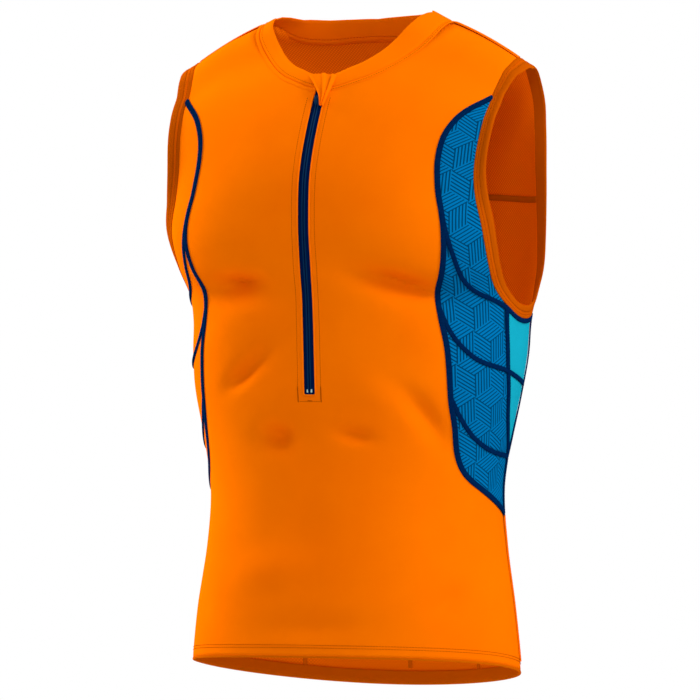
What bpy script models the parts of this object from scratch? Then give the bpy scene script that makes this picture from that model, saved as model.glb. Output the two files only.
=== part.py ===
"""Triathlon singlet with a front zip, filled out as worn and hollow.

Metres. The wearer faces -Y, their left is +X and +Z is up. The origin lies midway between the
shoulders, at the height of the shoulder seams.

The cloth lies on one smooth general figure. A place on it is an angle round the body, from 0 at the
front centre through 90 at the wearer's left side to 180 at the back centre, and a level, the height
that a ring round the body has at the body's middle. Seams are curves through a few such places.
Each panel is a wall on a grid of places between its seams, so neighbours share their seam points.
"""
import bisect
import math

import bmesh
import bpy
from mathutils import Vector

# Walls and clearances
PANEL_WALL = 0.0012
BAND_WALL = 0.0018
TAPE_WALL = 0.0009
HALF_SEAM_GAP = 0.00015
LIE_GAP = 0.00085
INSIDE_GAP = 0.00050
POINT_TRIM = 0.0012
LEAST_CORNER = 0.12
MERGE_DISTANCE = 1e-6

# The figure
RIDGE_LEVEL = 0.042
LOWEST_LEVEL = -0.650
SHOULDER_FALL = 1.8
FALL_FADES_AT = -0.300
MEAN_RADIUS = 0.15

# Hem: heights at the front centre, the sides and the back centre
HEM_FRONT = -0.609
HEM_SIDE = -0.620
HEM_BACK = -0.642
HEM_TURNUP = 0.013
HEM_TURNUP_START = 0.0004

# Zip
SLOT_HALF_WIDTH = 0.00475
SLOT_BOTTOM = -0.3495
TAPE_START = 0.0006
TAPE_REACH = 0.0125
TAPE_LOW_PART = 0.25
COIL_HALF_WIDTH = 0.0024
STOP_SIZE = (0.0066, 0.0034)
STOP_LEVEL = -0.3452
SLIDER_SIZE = (0.0074, 0.0095)
SLIDER_LEVEL = -0.0570
STOP_HEIGHT = 0.0009
SLIDER_HEIGHT = 0.0018
COIL_RISE = 0.0001
BLOCK_RISE = 0.0004
GARAGE_LIFT = 0.0016

# Flat-lock seams
SEAM_WIDTH = 0.0056
SEAM_HEIGHT = 0.0008
CROSS_TRIM = 0.0062
SLANT_TRIM = 0.0300
LONG_SLANT_TRIM = 0.0560
ARMHOLE_TRIM = 0.0125
UNDER_ARM_DROP = 0.0036
UNDER_ARM_BEND = 0.0160
UNDER_ARM_TRIM = 0.0120
TIP_TRIM = 0.0280
HEM_TRIM = 0.0010

# Tapes inside
INSIDE_TAPE_WIDTH = 0.006
NECK_TAPE_START = 0.0012
YOKE_TAPE_TRIM = 0.004

# Rings of the figure
# level, half width of the front, of the back, front depth, back depth, widest line's y,
# squareness front, squareness back
FIGURE = (
    (0.042, 0.210, 0.210, 0.000, 0.000, 0.004, 3.20, 3.20),
    (0.030, 0.213, 0.207, 0.0265, 0.031, 0.004, 3.60, 2.90),
    (0.000, 0.216, 0.202, 0.046, 0.060, 0.004, 4.20, 2.60),
    (-0.035, 0.215, 0.197, 0.0750, 0.079, 0.004, 3.10, 2.40),
    (-0.080, 0.211, 0.193, 0.100, 0.096, 0.003, 2.40, 2.30),
    (-0.130, 0.200, 0.190, 0.118, 0.107, 0.003, 2.35, 2.35),
    (-0.175, 0.190, 0.188, 0.122, 0.111, 0.004, 2.80, 2.45),
    (-0.215, 0.183, 0.186, 0.120, 0.113, 0.005, 2.65, 2.50),
    (-0.245, 0.178, 0.181, 0.117, 0.113, 0.006, 2.25, 2.50),
    (-0.275, 0.175, 0.175, 0.115, 0.112, 0.007, 2.22, 2.50),
    (-0.310, 0.174, 0.174, 0.111, 0.111, 0.005, 2.30, 2.40),
    (-0.345, 0.171, 0.171, 0.107, 0.108, 0.003, 2.30, 2.20),
    (-0.395, 0.161, 0.161, 0.101, 0.104, 0.001, 2.25, 2.20),
    (-0.445, 0.154, 0.154, 0.100, 0.101, -0.001, 2.15, 2.20),
    (-0.500, 0.157, 0.157, 0.103, 0.104, -0.001, 2.20, 2.20),
    (-0.560, 0.166, 0.166, 0.107, 0.110, -0.002, 2.25, 2.15),
    (-0.620, 0.173, 0.173, 0.110, 0.114, -0.002, 2.20, 2.10),
    (-0.650, 0.175, 0.175, 0.111, 0.115, -0.002, 2.20, 2.10),
)

# Soft troughs, the same on both sides of the body
# angle, level, half length, half width, turn from level in degrees, depth below the figure
CREASES = (
    (34.0, -0.243, 0.034, 0.012, 12.0, 0.0018),
    (9.0, -0.396, 0.016, 0.012, 20.0, 0.0010),
    (36.0, -0.384, 0.030, 0.010, 40.0, 0.0012),
    (52.0, -0.552, 0.012, 0.026, 70.0, 0.0012),
    (12.0, -0.582, 0.034, 0.010, 8.0, 0.0008),
    (158.0, -0.250, 0.040, 0.012, 15.0, 0.0016),
    (142.0, -0.310, 0.044, 0.012, -20.0, 0.0014),
    (172.0, -0.430, 0.050, 0.012, 5.0, 0.0018),
    (160.0, -0.480, 0.040, 0.012, -8.0, 0.0014),
)

# Front seam, armhole to side: angle, level, name of the join there
BEND_LEVEL = -0.424
FRONT_SEAM = (
    (41.7, -0.005, "armhole"),
    (38.3, -0.027, ""),
    (36.3, -0.048, ""),
    (35.4, -0.070, ""),
    (36.3, -0.096, ""),
    (38.7, -0.125, ""),
    (41.5, -0.158, "cross 1"),
    (43.6, -0.194, ""),
    (44.8, -0.228, ""),
    (45.7, -0.262, "cross 2"),
    (48.3, -0.300, ""),
    (51.0, -0.352, "cross 3"),
    (54.3, -0.383, ""),
    (58.1, -0.408, ""),
    (62.5, BEND_LEVEL, "bend"),
    (69.0, -0.435, ""),
    (81.0, -0.447, ""),
    (107.0, -0.468, "tip"),
)

# Side seam, armhole to hem
SIDE_SEAM = (
    (79.2, -0.257, "armhole"),
    (81.0, -0.295, ""),
    (83.4, -0.326, "cross 2"),
    (90.0, -0.366, ""),
    (103.0, -0.411, "cross 3"),
    (105.0, -0.435, ""),
    (107.0, -0.468, "tip"),
    (107.0, -0.540, ""),
    (107.0, -0.620, "hem"),
)

# Armhole edge of the panels, from the shoulder ridge down the front, under the arm and up the back:
# angle, level, join, width of the binding, degrees that the binding stands out from the panel
ARMHOLE = (
    (48.8, 0.042, "ridge front", 0.0170, 0.0),
    (46.4, 0.035, "", 0.0155, 12.0),
    (44.0, 0.024, "", 0.0140, 22.0),
    (42.1, 0.009, "", 0.0130, 30.0),
    (41.7, -0.005, "front seam", 0.0120, 34.0),
    (44.4, -0.038, "", 0.0120, 39.0),
    (49.0, -0.090, "", 0.0120, 39.0),
    (53.5, -0.132, "", 0.0120, 28.0),
    (59.4, -0.187, "", 0.0120, 12.0),
    (67.0, -0.229, "", 0.0120, 3.0),
    (79.2, -0.257, "side seam", 0.0120, 0.0),
    (95.0, -0.271, "", 0.0120, 0.0),
    (110.0, -0.267, "insert back", 0.0120, 3.0),
    (117.5, -0.235, "", 0.0120, 12.0),
    (117.5, -0.190, "", 0.0120, 27.0),
    (116.5, -0.130, "yoke", 0.0120, 38.0),
    (118.5, -0.070, "", 0.0120, 40.0),
    (123.5, -0.012, "", 0.0120, 33.0),
    (128.5, 0.022, "", 0.0140, 18.0),
    (131.2, 0.042, "ridge back", 0.0170, 0.0),
)

# Back edge of the underarm insert, armhole to side seam
INSERT_BACK = (
    (110.0, -0.267, "armhole"),
    (110.0, -0.300, ""),
    (109.0, -0.340, "cross 2"),
    (106.5, -0.378, ""),
    (103.0, -0.411, "cross 3"),
)

# Cross seams, front seam to side seam (the second one runs on over the insert)
CROSS_SEAMS = {
    1: ((41.5, -0.158, "front seam"), (43.8, -0.180, ""), (47.4, -0.204, ""), (52.4, -0.229, ""),
        (61.5, -0.246, ""), (79.2, -0.257, "side seam")),
    2: ((45.7, -0.262, "front seam"), (49.5, -0.285, ""), (54.6, -0.302, ""), (63.4, -0.316, ""),
        (83.4, -0.326, "side seam"), (98.0, -0.334, ""), (109.0, -0.340, "insert back")),
    3: ((51.0, -0.352, "front seam"), (57.0, -0.373, ""), (66.5, -0.393, ""),
        (80.0, -0.405, ""), (103.0, -0.411, "side seam")),
}

# Neck edge of the panels, front centre over the shoulder to the back centre:
# angle, level, join, height of the collar, degrees that the collar stands out
NECK = (
    (0.0, -0.0455, "front centre", 0.0145, 2.0),
    (4.2, -0.0425, "", 0.0150, 3.0),
    (8.5, -0.0360, "", 0.0160, 4.0),
    (12.6, -0.0280, "", 0.0170, 5.0),
    (16.6, -0.0155, "", 0.0175, 7.0),
    (19.8, -0.0020, "", 0.0180, 8.0),
    (22.6, 0.0130, "", 0.0185, 8.0),
    (25.0, 0.0290, "", 0.0190, 7.0),
    (27.0, 0.0420, "ridge front", 0.0195, 5.0),
)
NECK_BACK = (
    (153.0, 0.042, "ridge back", 0.0195, 5.0),
    (156.0, 0.025, "", 0.0200, 10.0),
    (163.0, 0.013, "", 0.0205, 16.0),
    (171.5, 0.009, "", 0.0205, 18.0),
    (180.0, 0.008, "back centre", 0.0205, 18.0),
)
YOKE_AT_BACK_CENTRE = -0.147

# Grid counts: rows between the joins of each seam, columns across each panel
ROWS_HEM_TO_TIP = 8
ROWS_TIP_TO_CROSS_3 = 6
ROWS_CROSS_3_TO_2 = 5
ROWS_CROSS_2_TO_1 = 5
ROWS_CROSS_1_TO_ARMHOLE = 10
ROWS_CRESCENT = 15
ROWS_ARMHOLE_TO_RIDGE = 3
ROWS_ARMHOLE_BACK = 7
ROWS_YOKE = 8
COLUMNS_SIDE = 5
COLUMNS_CRESCENT = 4
COLUMNS_INSERT = 4
COLUMNS_NECK_FRONT = 6
COLUMNS_RIDGE = 3
COLUMNS_BACK = 18
EVENING_ROUNDS = 15
POCKET_COLUMNS = (5, 13)
POCKET_ROWS = (1, 8)

# Colours: base colour, roughness
CLOTH = {
    "orange": ((0.85, 0.16, 0.0), 0.55),
    "orange_mesh": ((0.62, 0.08, 0.0), 0.70),
    "orange_band": ((0.48, 0.10, 0.0), 0.60),
    "blue": ((0.0, 0.20, 0.50), 0.50),
    "cyan": ((0.02, 0.55, 0.68), 0.60),
    "navy": ((0.0, 0.02, 0.10), 0.60),
    "stop_grey": ((0.50, 0.58, 0.60), 0.40),
}


def hermite(keys, rows, key):
    """A smooth curve through rows of numbers, read at a key."""
    last = len(keys) - 1
    i = min(max(bisect.bisect_right(keys, key) - 1, 0), last - 1)
    span = keys[i + 1] - keys[i]
    t = (key - keys[i]) / span

    def slope(j):
        low, high = max(j - 1, 0), min(j + 1, last)
        run = keys[high] - keys[low]
        return [(b - a) / run for a, b in zip(rows[low], rows[high])]

    starts, ends = slope(i), slope(i + 1)
    h_start, h_end = (1 + 2 * t) * (1 - t) ** 2, t * t * (3 - 2 * t)
    m_start, m_end = t * (1 - t) ** 2 * span, t * t * (t - 1) * span
    return [h_start * a + h_end * b + m_start * p + m_end * q
            for a, b, p, q in zip(rows[i], rows[i + 1], starts, ends)]


def depth_of(level):
    """How far down a ring lies: 0 on the shoulder ridge, 1 at the lowest level, evenly spaced over
    the rounded shoulder."""
    return math.sqrt((RIDGE_LEVEL - level) / (RIDGE_LEVEL - LOWEST_LEVEL))


def level_of(depth):
    return RIDGE_LEVEL - depth * depth * (RIDGE_LEVEL - LOWEST_LEVEL)


FIGURE_KEYS = [depth_of(row[0]) for row in FIGURE]
FIGURE_ROWS = [row[1:] for row in FIGURE]


def smooth_step(t):
    t = min(max(t, 0.0), 1.0)
    return t * t * (3 - 2 * t)


def figure_point(angle, depth):
    """The plain figure at an angle in degrees and a depth."""
    row = hermite(FIGURE_KEYS, FIGURE_ROWS, depth)
    turn = math.radians(angle)
    sine, cosine = math.sin(turn), math.cos(turn)
    half_width, reach_y, square = (row[0], row[2], row[5]) if cosine > 0 else (row[1], row[3], row[6])
    reach = (abs(sine) ** square + abs(cosine) ** square) ** (-1.0 / square)
    x = half_width * sine * reach
    y = row[4] - reach_y * cosine * reach
    level = level_of(depth)
    fall = SHOULDER_FALL * smooth_step((level - FALL_FADES_AT) / (RIDGE_LEVEL - FALL_FADES_AT))
    return Vector((x, y, level - fall * x * x))


def normal_at(point_at, angle, depth):
    """Outward normal of a surface function, from points a little round and down."""
    step = 0.002
    round_it = point_at(angle + 0.2, depth) - point_at(angle - 0.2, depth)
    down = point_at(angle, depth + step) - point_at(angle, max(depth - step, 0.0))
    return down.cross(round_it).normalized()


def crease_depth(angle, depth):
    """How far the soft creases draw the cloth in at a place."""
    level, total = level_of(depth), 0.0
    angle = abs(angle) if abs(angle) <= 180.0 else 360.0 - abs(angle)
    for at_angle, at_level, length, width, turn, deep in CREASES:
        across = math.radians(angle - at_angle) * MEAN_RADIUS
        up = level - at_level
        cosine, sine = math.cos(math.radians(turn)), math.sin(math.radians(turn))
        along, aside = across * cosine + up * sine, up * cosine - across * sine
        total += deep * math.exp(-(along / length) ** 2 - (aside / width) ** 2)
    return total


def cloth_point(angle, depth):
    """The cloth's outer face."""
    drawn_in = crease_depth(angle, depth)
    point = figure_point(angle, depth)
    if drawn_in > 0.00002:
        point -= normal_at(figure_point, angle, depth) * drawn_in
    return point


def spot(place):
    """The point and the outward normal at a place (angle, depth)."""
    return cloth_point(*place), normal_at(cloth_point, *place)


def angle_at_x(x, depth):
    """The angle of the point on the front that lies x from the middle."""
    row = hermite(FIGURE_KEYS, FIGURE_ROWS, depth)
    part = (abs(x) / row[0]) ** row[5]
    return math.copysign(math.degrees(math.atan((part / (1 - part)) ** (1 / row[5]))), x)


class Seam:
    """A smooth curve through a table of places, with named joins."""

    def __init__(self, table):
        self.rows = [(row[0], depth_of(row[1])) + tuple(row[3:]) for row in table]
        self.keys = [0.0]
        for before, after in zip(self.rows, self.rows[1:]):
            length = (cloth_point(*after[:2]) - cloth_point(*before[:2])).length
            self.keys.append(self.keys[-1] + length)
        self.joins = {row[2]: key for row, key in zip(table, self.keys) if row[2]}

    def stretch(self, start, end, count):
        """Evenly spaced rows from one join to another."""
        fine = 24 * count
        first, last = self.joins[start], self.joins[end]
        rows = [hermite(self.keys, self.rows, first + (last - first) * i / fine)
                for i in range(fine + 1)]
        for row in rows:
            row[1] = max(row[1], 0.0)
        points = [cloth_point(*row[:2]) for row in rows]
        lengths = [0.0]
        for before, after in zip(points, points[1:]):
            lengths.append(lengths[-1] + (after - before).length)
        picked = []
        for i in range(count + 1):
            want = lengths[-1] * i / count
            j = min(max(bisect.bisect_right(lengths, want) - 1, 0), fine - 1)
            part = (want - lengths[j]) / (lengths[j + 1] - lengths[j])
            picked.append(tuple(a + (b - a) * part for a, b in zip(rows[j], rows[j + 1])))
        return picked


def hem_level(angle):
    cosine = math.cos(math.radians(angle))
    lift, bow = (HEM_FRONT - HEM_BACK) / 2, (HEM_FRONT + HEM_BACK) / 2 - HEM_SIDE
    return HEM_SIDE + lift * cosine + bow * cosine * cosine


def joined(*stretches):
    """Stretches end to end, without the doubled joins."""
    path = list(stretches[0])
    for stretch in stretches[1:]:
        path += stretch[1:]
    return path


def places(rows):
    return [tuple(row[:2]) for row in rows]


def fill_between(bottom, top, left, right):
    """A grid of places between four edges that meet at the corners."""
    rows, columns = len(left) - 1, len(bottom) - 1
    grid = []
    for r in range(rows + 1):
        up, line = r / rows, []
        for c in range(columns + 1):
            over = c / columns
            line.append(tuple(
                (1 - up) * bottom[c][k] + up * top[c][k] + (1 - over) * left[r][k] + over * right[r][k]
                - (1 - up) * ((1 - over) * bottom[0][k] + over * bottom[-1][k])
                - up * ((1 - over) * top[0][k] + over * top[-1][k]) for k in range(2)))
        grid.append(line)
    return grid


def evened(grid, held=()):
    """The same grid with its inner places evened out, so that no cell folds over at a corner. The
    places in held, as (row, column), stay."""
    lines = [list(line) for line in grid]
    for _ in range(EVENING_ROUNDS):
        for r in range(1, len(lines) - 1):
            for c in range(1, len(lines[0]) - 1):
                if (r, c) in held:
                    continue
                near = (lines[r - 1][c], lines[r + 1][c], lines[r][c - 1], lines[r][c + 1])
                lines[r][c] = tuple(sum(place[k] for place in near) / 4 for k in range(2))
    return lines


def spots(grid):
    return [[spot(place) for place in line] for line in grid]


def trim_edges(grid):
    """Draw the edges of a panel in by half the seam gap."""
    last_row, last_column = len(grid) - 1, len(grid[0]) - 1
    trimmed = [list(line) for line in grid]

    def inward(r, c, step_r, step_c):
        here = grid[r][c][0]
        to_inside = grid[r + step_r][c + step_c][0] - here
        if step_c:
            along = grid[min(r + 1, last_row)][c][0] - grid[max(r - 1, 0)][c][0]
        else:
            along = grid[r][min(c + 1, last_column)][0] - grid[r][max(c - 1, 0)][0]
        if along.length < 1e-6:
            return to_inside.normalized() * (POINT_TRIM / HALF_SEAM_GAP)
        along.normalize()
        return (to_inside - along * to_inside.dot(along)).normalized()

    for r in range(last_row + 1):
        for c in range(last_column + 1):
            shifts = []
            if r in (0, last_row):
                shifts.append(inward(r, c, 1 if r == 0 else -1, 0))
            if c in (0, last_column):
                shifts.append(inward(r, c, 0, 1 if c == 0 else -1))
            if not shifts:
                continue
            if shifts[0].length > 1.5:
                middle = grid[1 if r == 0 else last_row - 1][last_column // 2][0]
                shift = (middle - grid[r][c][0]).normalized() * (POINT_TRIM / HALF_SEAM_GAP)
            elif len(shifts) == 2:
                sharpness = max(1 + shifts[0].dot(shifts[1]), LEAST_CORNER)
                shift = (shifts[0] + shifts[1]) / sharpness
            else:
                shift = shifts[0]
            trimmed[r][c] = (grid[r][c][0] + shift * HALF_SEAM_GAP, grid[r][c][1])
    return trimmed


def mirrored(grid):
    """The same piece on the wearer's other side."""
    def flip(vector):
        return Vector((-vector.x, vector.y, vector.z))
    return [[(flip(point), flip(normal)) for point, normal in line] for line in grid]


def material(name):
    if name in bpy.data.materials:
        return bpy.data.materials[name]
    colour, roughness = CLOTH[name]
    made = bpy.data.materials.new(name)
    made.use_nodes = True
    shader = made.node_tree.nodes["Principled BSDF"]
    shader.inputs["Base Color"].default_value = (*colour, 1.0)
    shader.inputs["Roughness"].default_value = roughness
    return made


def finish(name, mesh, colour):
    """Close, orient and link a piece."""
    bmesh.ops.remove_doubles(mesh, verts=mesh.verts, dist=MERGE_DISTANCE)
    bmesh.ops.recalc_face_normals(mesh, faces=mesh.faces)
    data = bpy.data.meshes.new(name)
    mesh.to_mesh(data)
    mesh.free()
    data.shade_smooth()
    data.set_sharp_from_angle(angle=math.radians(50))
    data.materials.append(material(colour))
    piece = bpy.data.objects.new(name, data)
    bpy.context.scene.collection.objects.link(piece)
    return piece


def wall(name, grid, colour, outside=0.0, thickness=PANEL_WALL, skip=(), ring=False):
    """A closed wall on a grid of (point, normal): its outer face lies `outside` off the grid. Cells
    in skip, as (row, column), are left open; a ring joins its last column to its first."""
    mesh = bmesh.new()
    rows, columns = len(grid) - 1, len(grid[0]) - (0 if ring else 1)
    faces = []
    for height in (outside, outside - thickness):
        verts = [[mesh.verts.new(point + normal * height) for point, normal in line] for line in grid]
        faces.append(verts)
    outer, inner = faces
    edge_use = {}
    for r in range(rows):
        for c in range(columns):
            if (r, c) in skip:
                continue
            d = (c + 1) % len(grid[0])
            corners = ((r, c), (r, d), (r + 1, d), (r + 1, c))
            mesh.faces.new([outer[i][j] for i, j in corners])
            mesh.faces.new([inner[i][j] for i, j in reversed(corners)])
            for start, end in zip(corners, corners[1:] + corners[:1]):
                key = tuple(sorted((start, end)))
                edge_use[key] = edge_use.get(key, 0) + 1
    for (start, end), uses in edge_use.items():
        if uses == 1:
            (a, b), (c, d) = start, end
            mesh.faces.new((outer[a][b], outer[c][d], inner[c][d], inner[a][b]))
    loose = [vert for vert in mesh.verts if not vert.link_faces]
    bmesh.ops.delete(mesh, geom=loose, context="VERTS")
    return finish(name, mesh, colour)


def path_lengths(path):
    lengths = [0.0]
    for before, after in zip(path, path[1:]):
        lengths.append(lengths[-1] + (after[0] - before[0]).length)
    return lengths


def cut_path(path, from_start=0.0, from_end=0.0):
    """A path of rows of vectors, each with its point first, with some length taken off each end."""
    lengths = path_lengths(path)
    low, high = from_start, lengths[-1] - from_end

    def at(length):
        i = min(max(bisect.bisect_right(lengths, length) - 1, 0), len(path) - 2)
        part = (length - lengths[i]) / (lengths[i + 1] - lengths[i])
        return tuple(a.lerp(b, part) for a, b in zip(path[i], path[i + 1]))

    inner = [row for row, length in zip(path, lengths) if low + 1e-4 < length < high - 1e-4]
    return [at(low)] + inner + [at(high)]


def seam_path(line, left, right, slanted=()):
    """Rows of point, normal and the directions along the two panels beside it, from a line of
    (point, normal) and the panels' next lines on its left and its right. Where another seam slants
    away, at the slanted rows, the directions are read from the rows before and after."""
    rows = []
    for i, (point, normal) in enumerate(line):
        ahead = (line[min(i + 1, len(line) - 1)][0] - line[max(i - 1, 0)][0]).normalized()
        sides = []
        for beside in (left[i][0] - point, right[i][0] - point):
            sides.append((beside - ahead * beside.dot(ahead)).normalized())
        rows.append((point, normal, *sides))
    for i in slanted:
        rows[i] = rows[i][:2] + tuple(a + b for a, b in zip(rows[i - 1][2:], rows[i + 1][2:]))
    return rows


def lay_strip(name, path, colour, half_width=SEAM_WIDTH / 2, outside=LIE_GAP + SEAM_HEIGHT,
              height=SEAM_HEIGHT):
    """A flat band along a seam path, bent at the seam to lie on both panels."""
    grid = [[(point + left.normalized() * half_width, normal), (point, normal),
             (point + right.normalized() * half_width, normal)] for point, normal, left, right in path]
    return wall(name, grid, colour, outside=outside, thickness=height)


def mirrored_rows(rows):
    """Rows of vectors on the wearer's other side."""
    return [tuple(Vector((-vector.x, vector.y, vector.z)) for vector in row) for row in rows]


for old in list(bpy.data.objects):
    bpy.data.objects.remove(old, do_unlink=True)

front_seam, side_seam = Seam(FRONT_SEAM), Seam(SIDE_SEAM)
armhole, insert_back = Seam(ARMHOLE), Seam(INSERT_BACK)
neck, neck_back = Seam(NECK), Seam(NECK_BACK)
cross = {number: Seam(table) for number, table in CROSS_SEAMS.items()}

# Seam stretches, shared by the panels on both sides of each. Those of the front and side seams
# run upwards.
hem_to_tip = places(side_seam.stretch("hem", "tip", ROWS_HEM_TO_TIP))
hem_to_tip[0] = (hem_to_tip[0][0], depth_of(hem_level(hem_to_tip[0][0])))
front_tip_to_bend = places(front_seam.stretch("tip", "bend", COLUMNS_SIDE))
front_bend_to_3 = places(front_seam.stretch("bend", "cross 3", ROWS_TIP_TO_CROSS_3))
front_3_to_2 = places(front_seam.stretch("cross 3", "cross 2", ROWS_CROSS_3_TO_2))
front_2_to_1 = places(front_seam.stretch("cross 2", "cross 1", ROWS_CROSS_2_TO_1))
front_1_to_armhole = places(front_seam.stretch("cross 1", "armhole", ROWS_CROSS_1_TO_ARMHOLE))
side_tip_to_3 = places(side_seam.stretch("tip", "cross 3", ROWS_TIP_TO_CROSS_3))
side_3_to_2 = places(side_seam.stretch("cross 3", "cross 2", ROWS_CROSS_3_TO_2))
side_2_to_armhole = places(side_seam.stretch("cross 2", "armhole", ROWS_CROSS_2_TO_1))
insert_3_to_2 = places(insert_back.stretch("cross 3", "cross 2", ROWS_CROSS_3_TO_2))
insert_2_to_armhole = places(insert_back.stretch("cross 2", "armhole", ROWS_CROSS_2_TO_1))
cross_1 = places(cross[1].stretch("front seam", "side seam", COLUMNS_SIDE))
cross_2 = places(cross[2].stretch("front seam", "side seam", COLUMNS_SIDE))
cross_2_insert = places(cross[2].stretch("side seam", "insert back", COLUMNS_INSERT))
cross_3 = places(cross[3].stretch("front seam", "side seam", COLUMNS_SIDE))

# The armhole in full rows, because the binding needs its width and lean too
arm_ridge_to_seam = armhole.stretch("ridge front", "front seam", ROWS_ARMHOLE_TO_RIDGE)
arm_seam_to_side = armhole.stretch("front seam", "side seam", ROWS_CRESCENT)
arm_side_to_insert = armhole.stretch("side seam", "insert back", COLUMNS_INSERT)
arm_insert_to_yoke = armhole.stretch("insert back", "yoke", ROWS_ARMHOLE_BACK)
arm_yoke_to_ridge = armhole.stretch("yoke", "ridge back", ROWS_YOKE)
armhole_loop = joined(arm_ridge_to_seam, arm_seam_to_side, arm_side_to_insert,
                      arm_insert_to_yoke, arm_yoke_to_ridge)[:-1]

neck_rows = neck.stretch("front centre", "ridge front", COLUMNS_NECK_FRONT)
neck_start = angle_at_x(SLOT_HALF_WIDTH, neck_rows[0][1])
neck_rows[0] = (neck_start,) + tuple(neck_rows[0][1:])
neck_back_rows = neck_back.stretch("ridge back", "back centre", COLUMNS_BACK // 2 - COLUMNS_RIDGE)


def level_line(start, end, count):
    """Places evenly between two places, along the figure."""
    return [tuple(a + (b - a) * i / count for a, b in zip(start, end)) for i in range(count + 1)]


# Front: a grid for the wearer's left half beside the zip slot, and its mirror image
slot_steps = ((HEM_FRONT, ROWS_HEM_TO_TIP), (FRONT_SEAM[-1][1], COLUMNS_SIDE),
              (BEND_LEVEL, ROWS_TIP_TO_CROSS_3),
              (SLOT_BOTTOM, ROWS_CROSS_3_TO_2 + ROWS_CROSS_2_TO_1 + ROWS_CROSS_1_TO_ARMHOLE
               + ROWS_ARMHOLE_TO_RIDGE), (NECK[0][1], 1))
slot_levels = []
for (level, count), (next_level, _) in zip(slot_steps, slot_steps[1:]):
    slot_levels += [level + (next_level - level) * i / count for i in range(count)]
slot_levels.append(NECK[0][1])
slot_rows_low = ROWS_HEM_TO_TIP + COLUMNS_SIDE + ROWS_TIP_TO_CROSS_3
slot_depths = [depth_of(level) for level in slot_levels]
slot_edge = [(angle_at_x(SLOT_HALF_WIDTH, depth), depth) for depth in slot_depths]
front_right_edge = joined(hem_to_tip, front_tip_to_bend, front_bend_to_3, front_3_to_2,
                          front_2_to_1, front_1_to_armhole, places(arm_ridge_to_seam)[::-1])
front_columns = COLUMNS_NECK_FRONT + COLUMNS_RIDGE
front_hem_angles = [slot_edge[0][0] + (hem_to_tip[0][0] - slot_edge[0][0]) * i / front_columns
                    for i in range(front_columns + 1)]
front_hem = [(angle, depth_of(hem_level(angle))) for angle in front_hem_angles]
ridge_line = level_line(places(neck_rows)[-1], front_right_edge[-1], COLUMNS_RIDGE)
front_top = joined(places(neck_rows), ridge_line)
beside_neck = [(len(slot_edge) - 2, c) for c in range(1, COLUMNS_NECK_FRONT - 1)]
front_places = evened(fill_between(front_hem, front_top, slot_edge, front_right_edge), beside_neck)
front_spots = spots(front_places)
front_half = trim_edges(front_spots)
for r, line in enumerate(front_half):
    point, normal = spot(slot_edge[r])
    line[0] = (Vector((SLOT_HALF_WIDTH, line[0][0].y, line[0][0].z)), normal)
centre_line = [[spot((0.0, depth))] for depth in slot_depths]
centre_line[0][0][0].z += HALF_SEAM_GAP
front_grid = [[spot_ for spot_ in reversed(mirror)] + middle + line for mirror, middle, line
              in zip(mirrored(front_half), centre_line, front_half)]
open_cells = {(r, c) for r in range(slot_rows_low, len(front_grid) - 1)
              for c in (front_columns, front_columns + 1)}
wall("front", front_grid, "orange", skip=open_cells)

# Back, lower panel and yoke
back_lower_edge = joined(hem_to_tip, side_tip_to_3, insert_3_to_2, insert_2_to_armhole,
                         places(arm_insert_to_yoke))
yoke_edge = places(arm_yoke_to_ridge)


def other_side(edge):
    """The same edge on the wearer's right, as angles past the back centre."""
    return [(360.0 - angle, depth) for angle, depth in edge]


def across_back(edge_place, centre_level, lift=None):
    """Places from the wearer's left edge over the back centre to the right edge."""
    angles = [edge_place[0] + (360.0 - 2 * edge_place[0]) * i / COLUMNS_BACK
              for i in range(COLUMNS_BACK + 1)]
    if lift:
        return [(angle, depth_of(lift(angle))) for angle in angles]
    edge_level = level_of(edge_place[1])
    line = []
    for angle in angles:
        from_centre = abs(angle - 180.0) / (180.0 - edge_place[0])
        line.append((angle, depth_of(centre_level + (edge_level - centre_level) * from_centre ** 2)))
    return line


back_hem = across_back(hem_to_tip[0], HEM_BACK, hem_level)
yoke_line = across_back(yoke_edge[0], YOKE_AT_BACK_CENTRE)
back_places = fill_between(back_hem, yoke_line, back_lower_edge, other_side(back_lower_edge))
back_spots = spots(back_places)
wall("back_lower", trim_edges(back_spots), "orange_mesh")

ridge_back = level_line(yoke_edge[-1], neck_back_rows[0][:2], COLUMNS_RIDGE)
half_top = joined(ridge_back, places(neck_back_rows))
yoke_top = half_top + other_side(half_top)[::-1][1:]
yoke_spots = spots(evened(fill_between(yoke_line, yoke_top, yoke_edge, other_side(yoke_edge))))
wall("back_yoke", trim_edges(yoke_spots), "orange_mesh")

# Rear pocket: one panel on the lower back, on the back's own points
first, last = POCKET_COLUMNS
pocket = [line[first:last + 1] for line in back_spots[POCKET_ROWS[0]:POCKET_ROWS[1] + 1]]
wall("rear_pocket", pocket, "orange_mesh", outside=LIE_GAP + PANEL_WALL)

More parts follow.
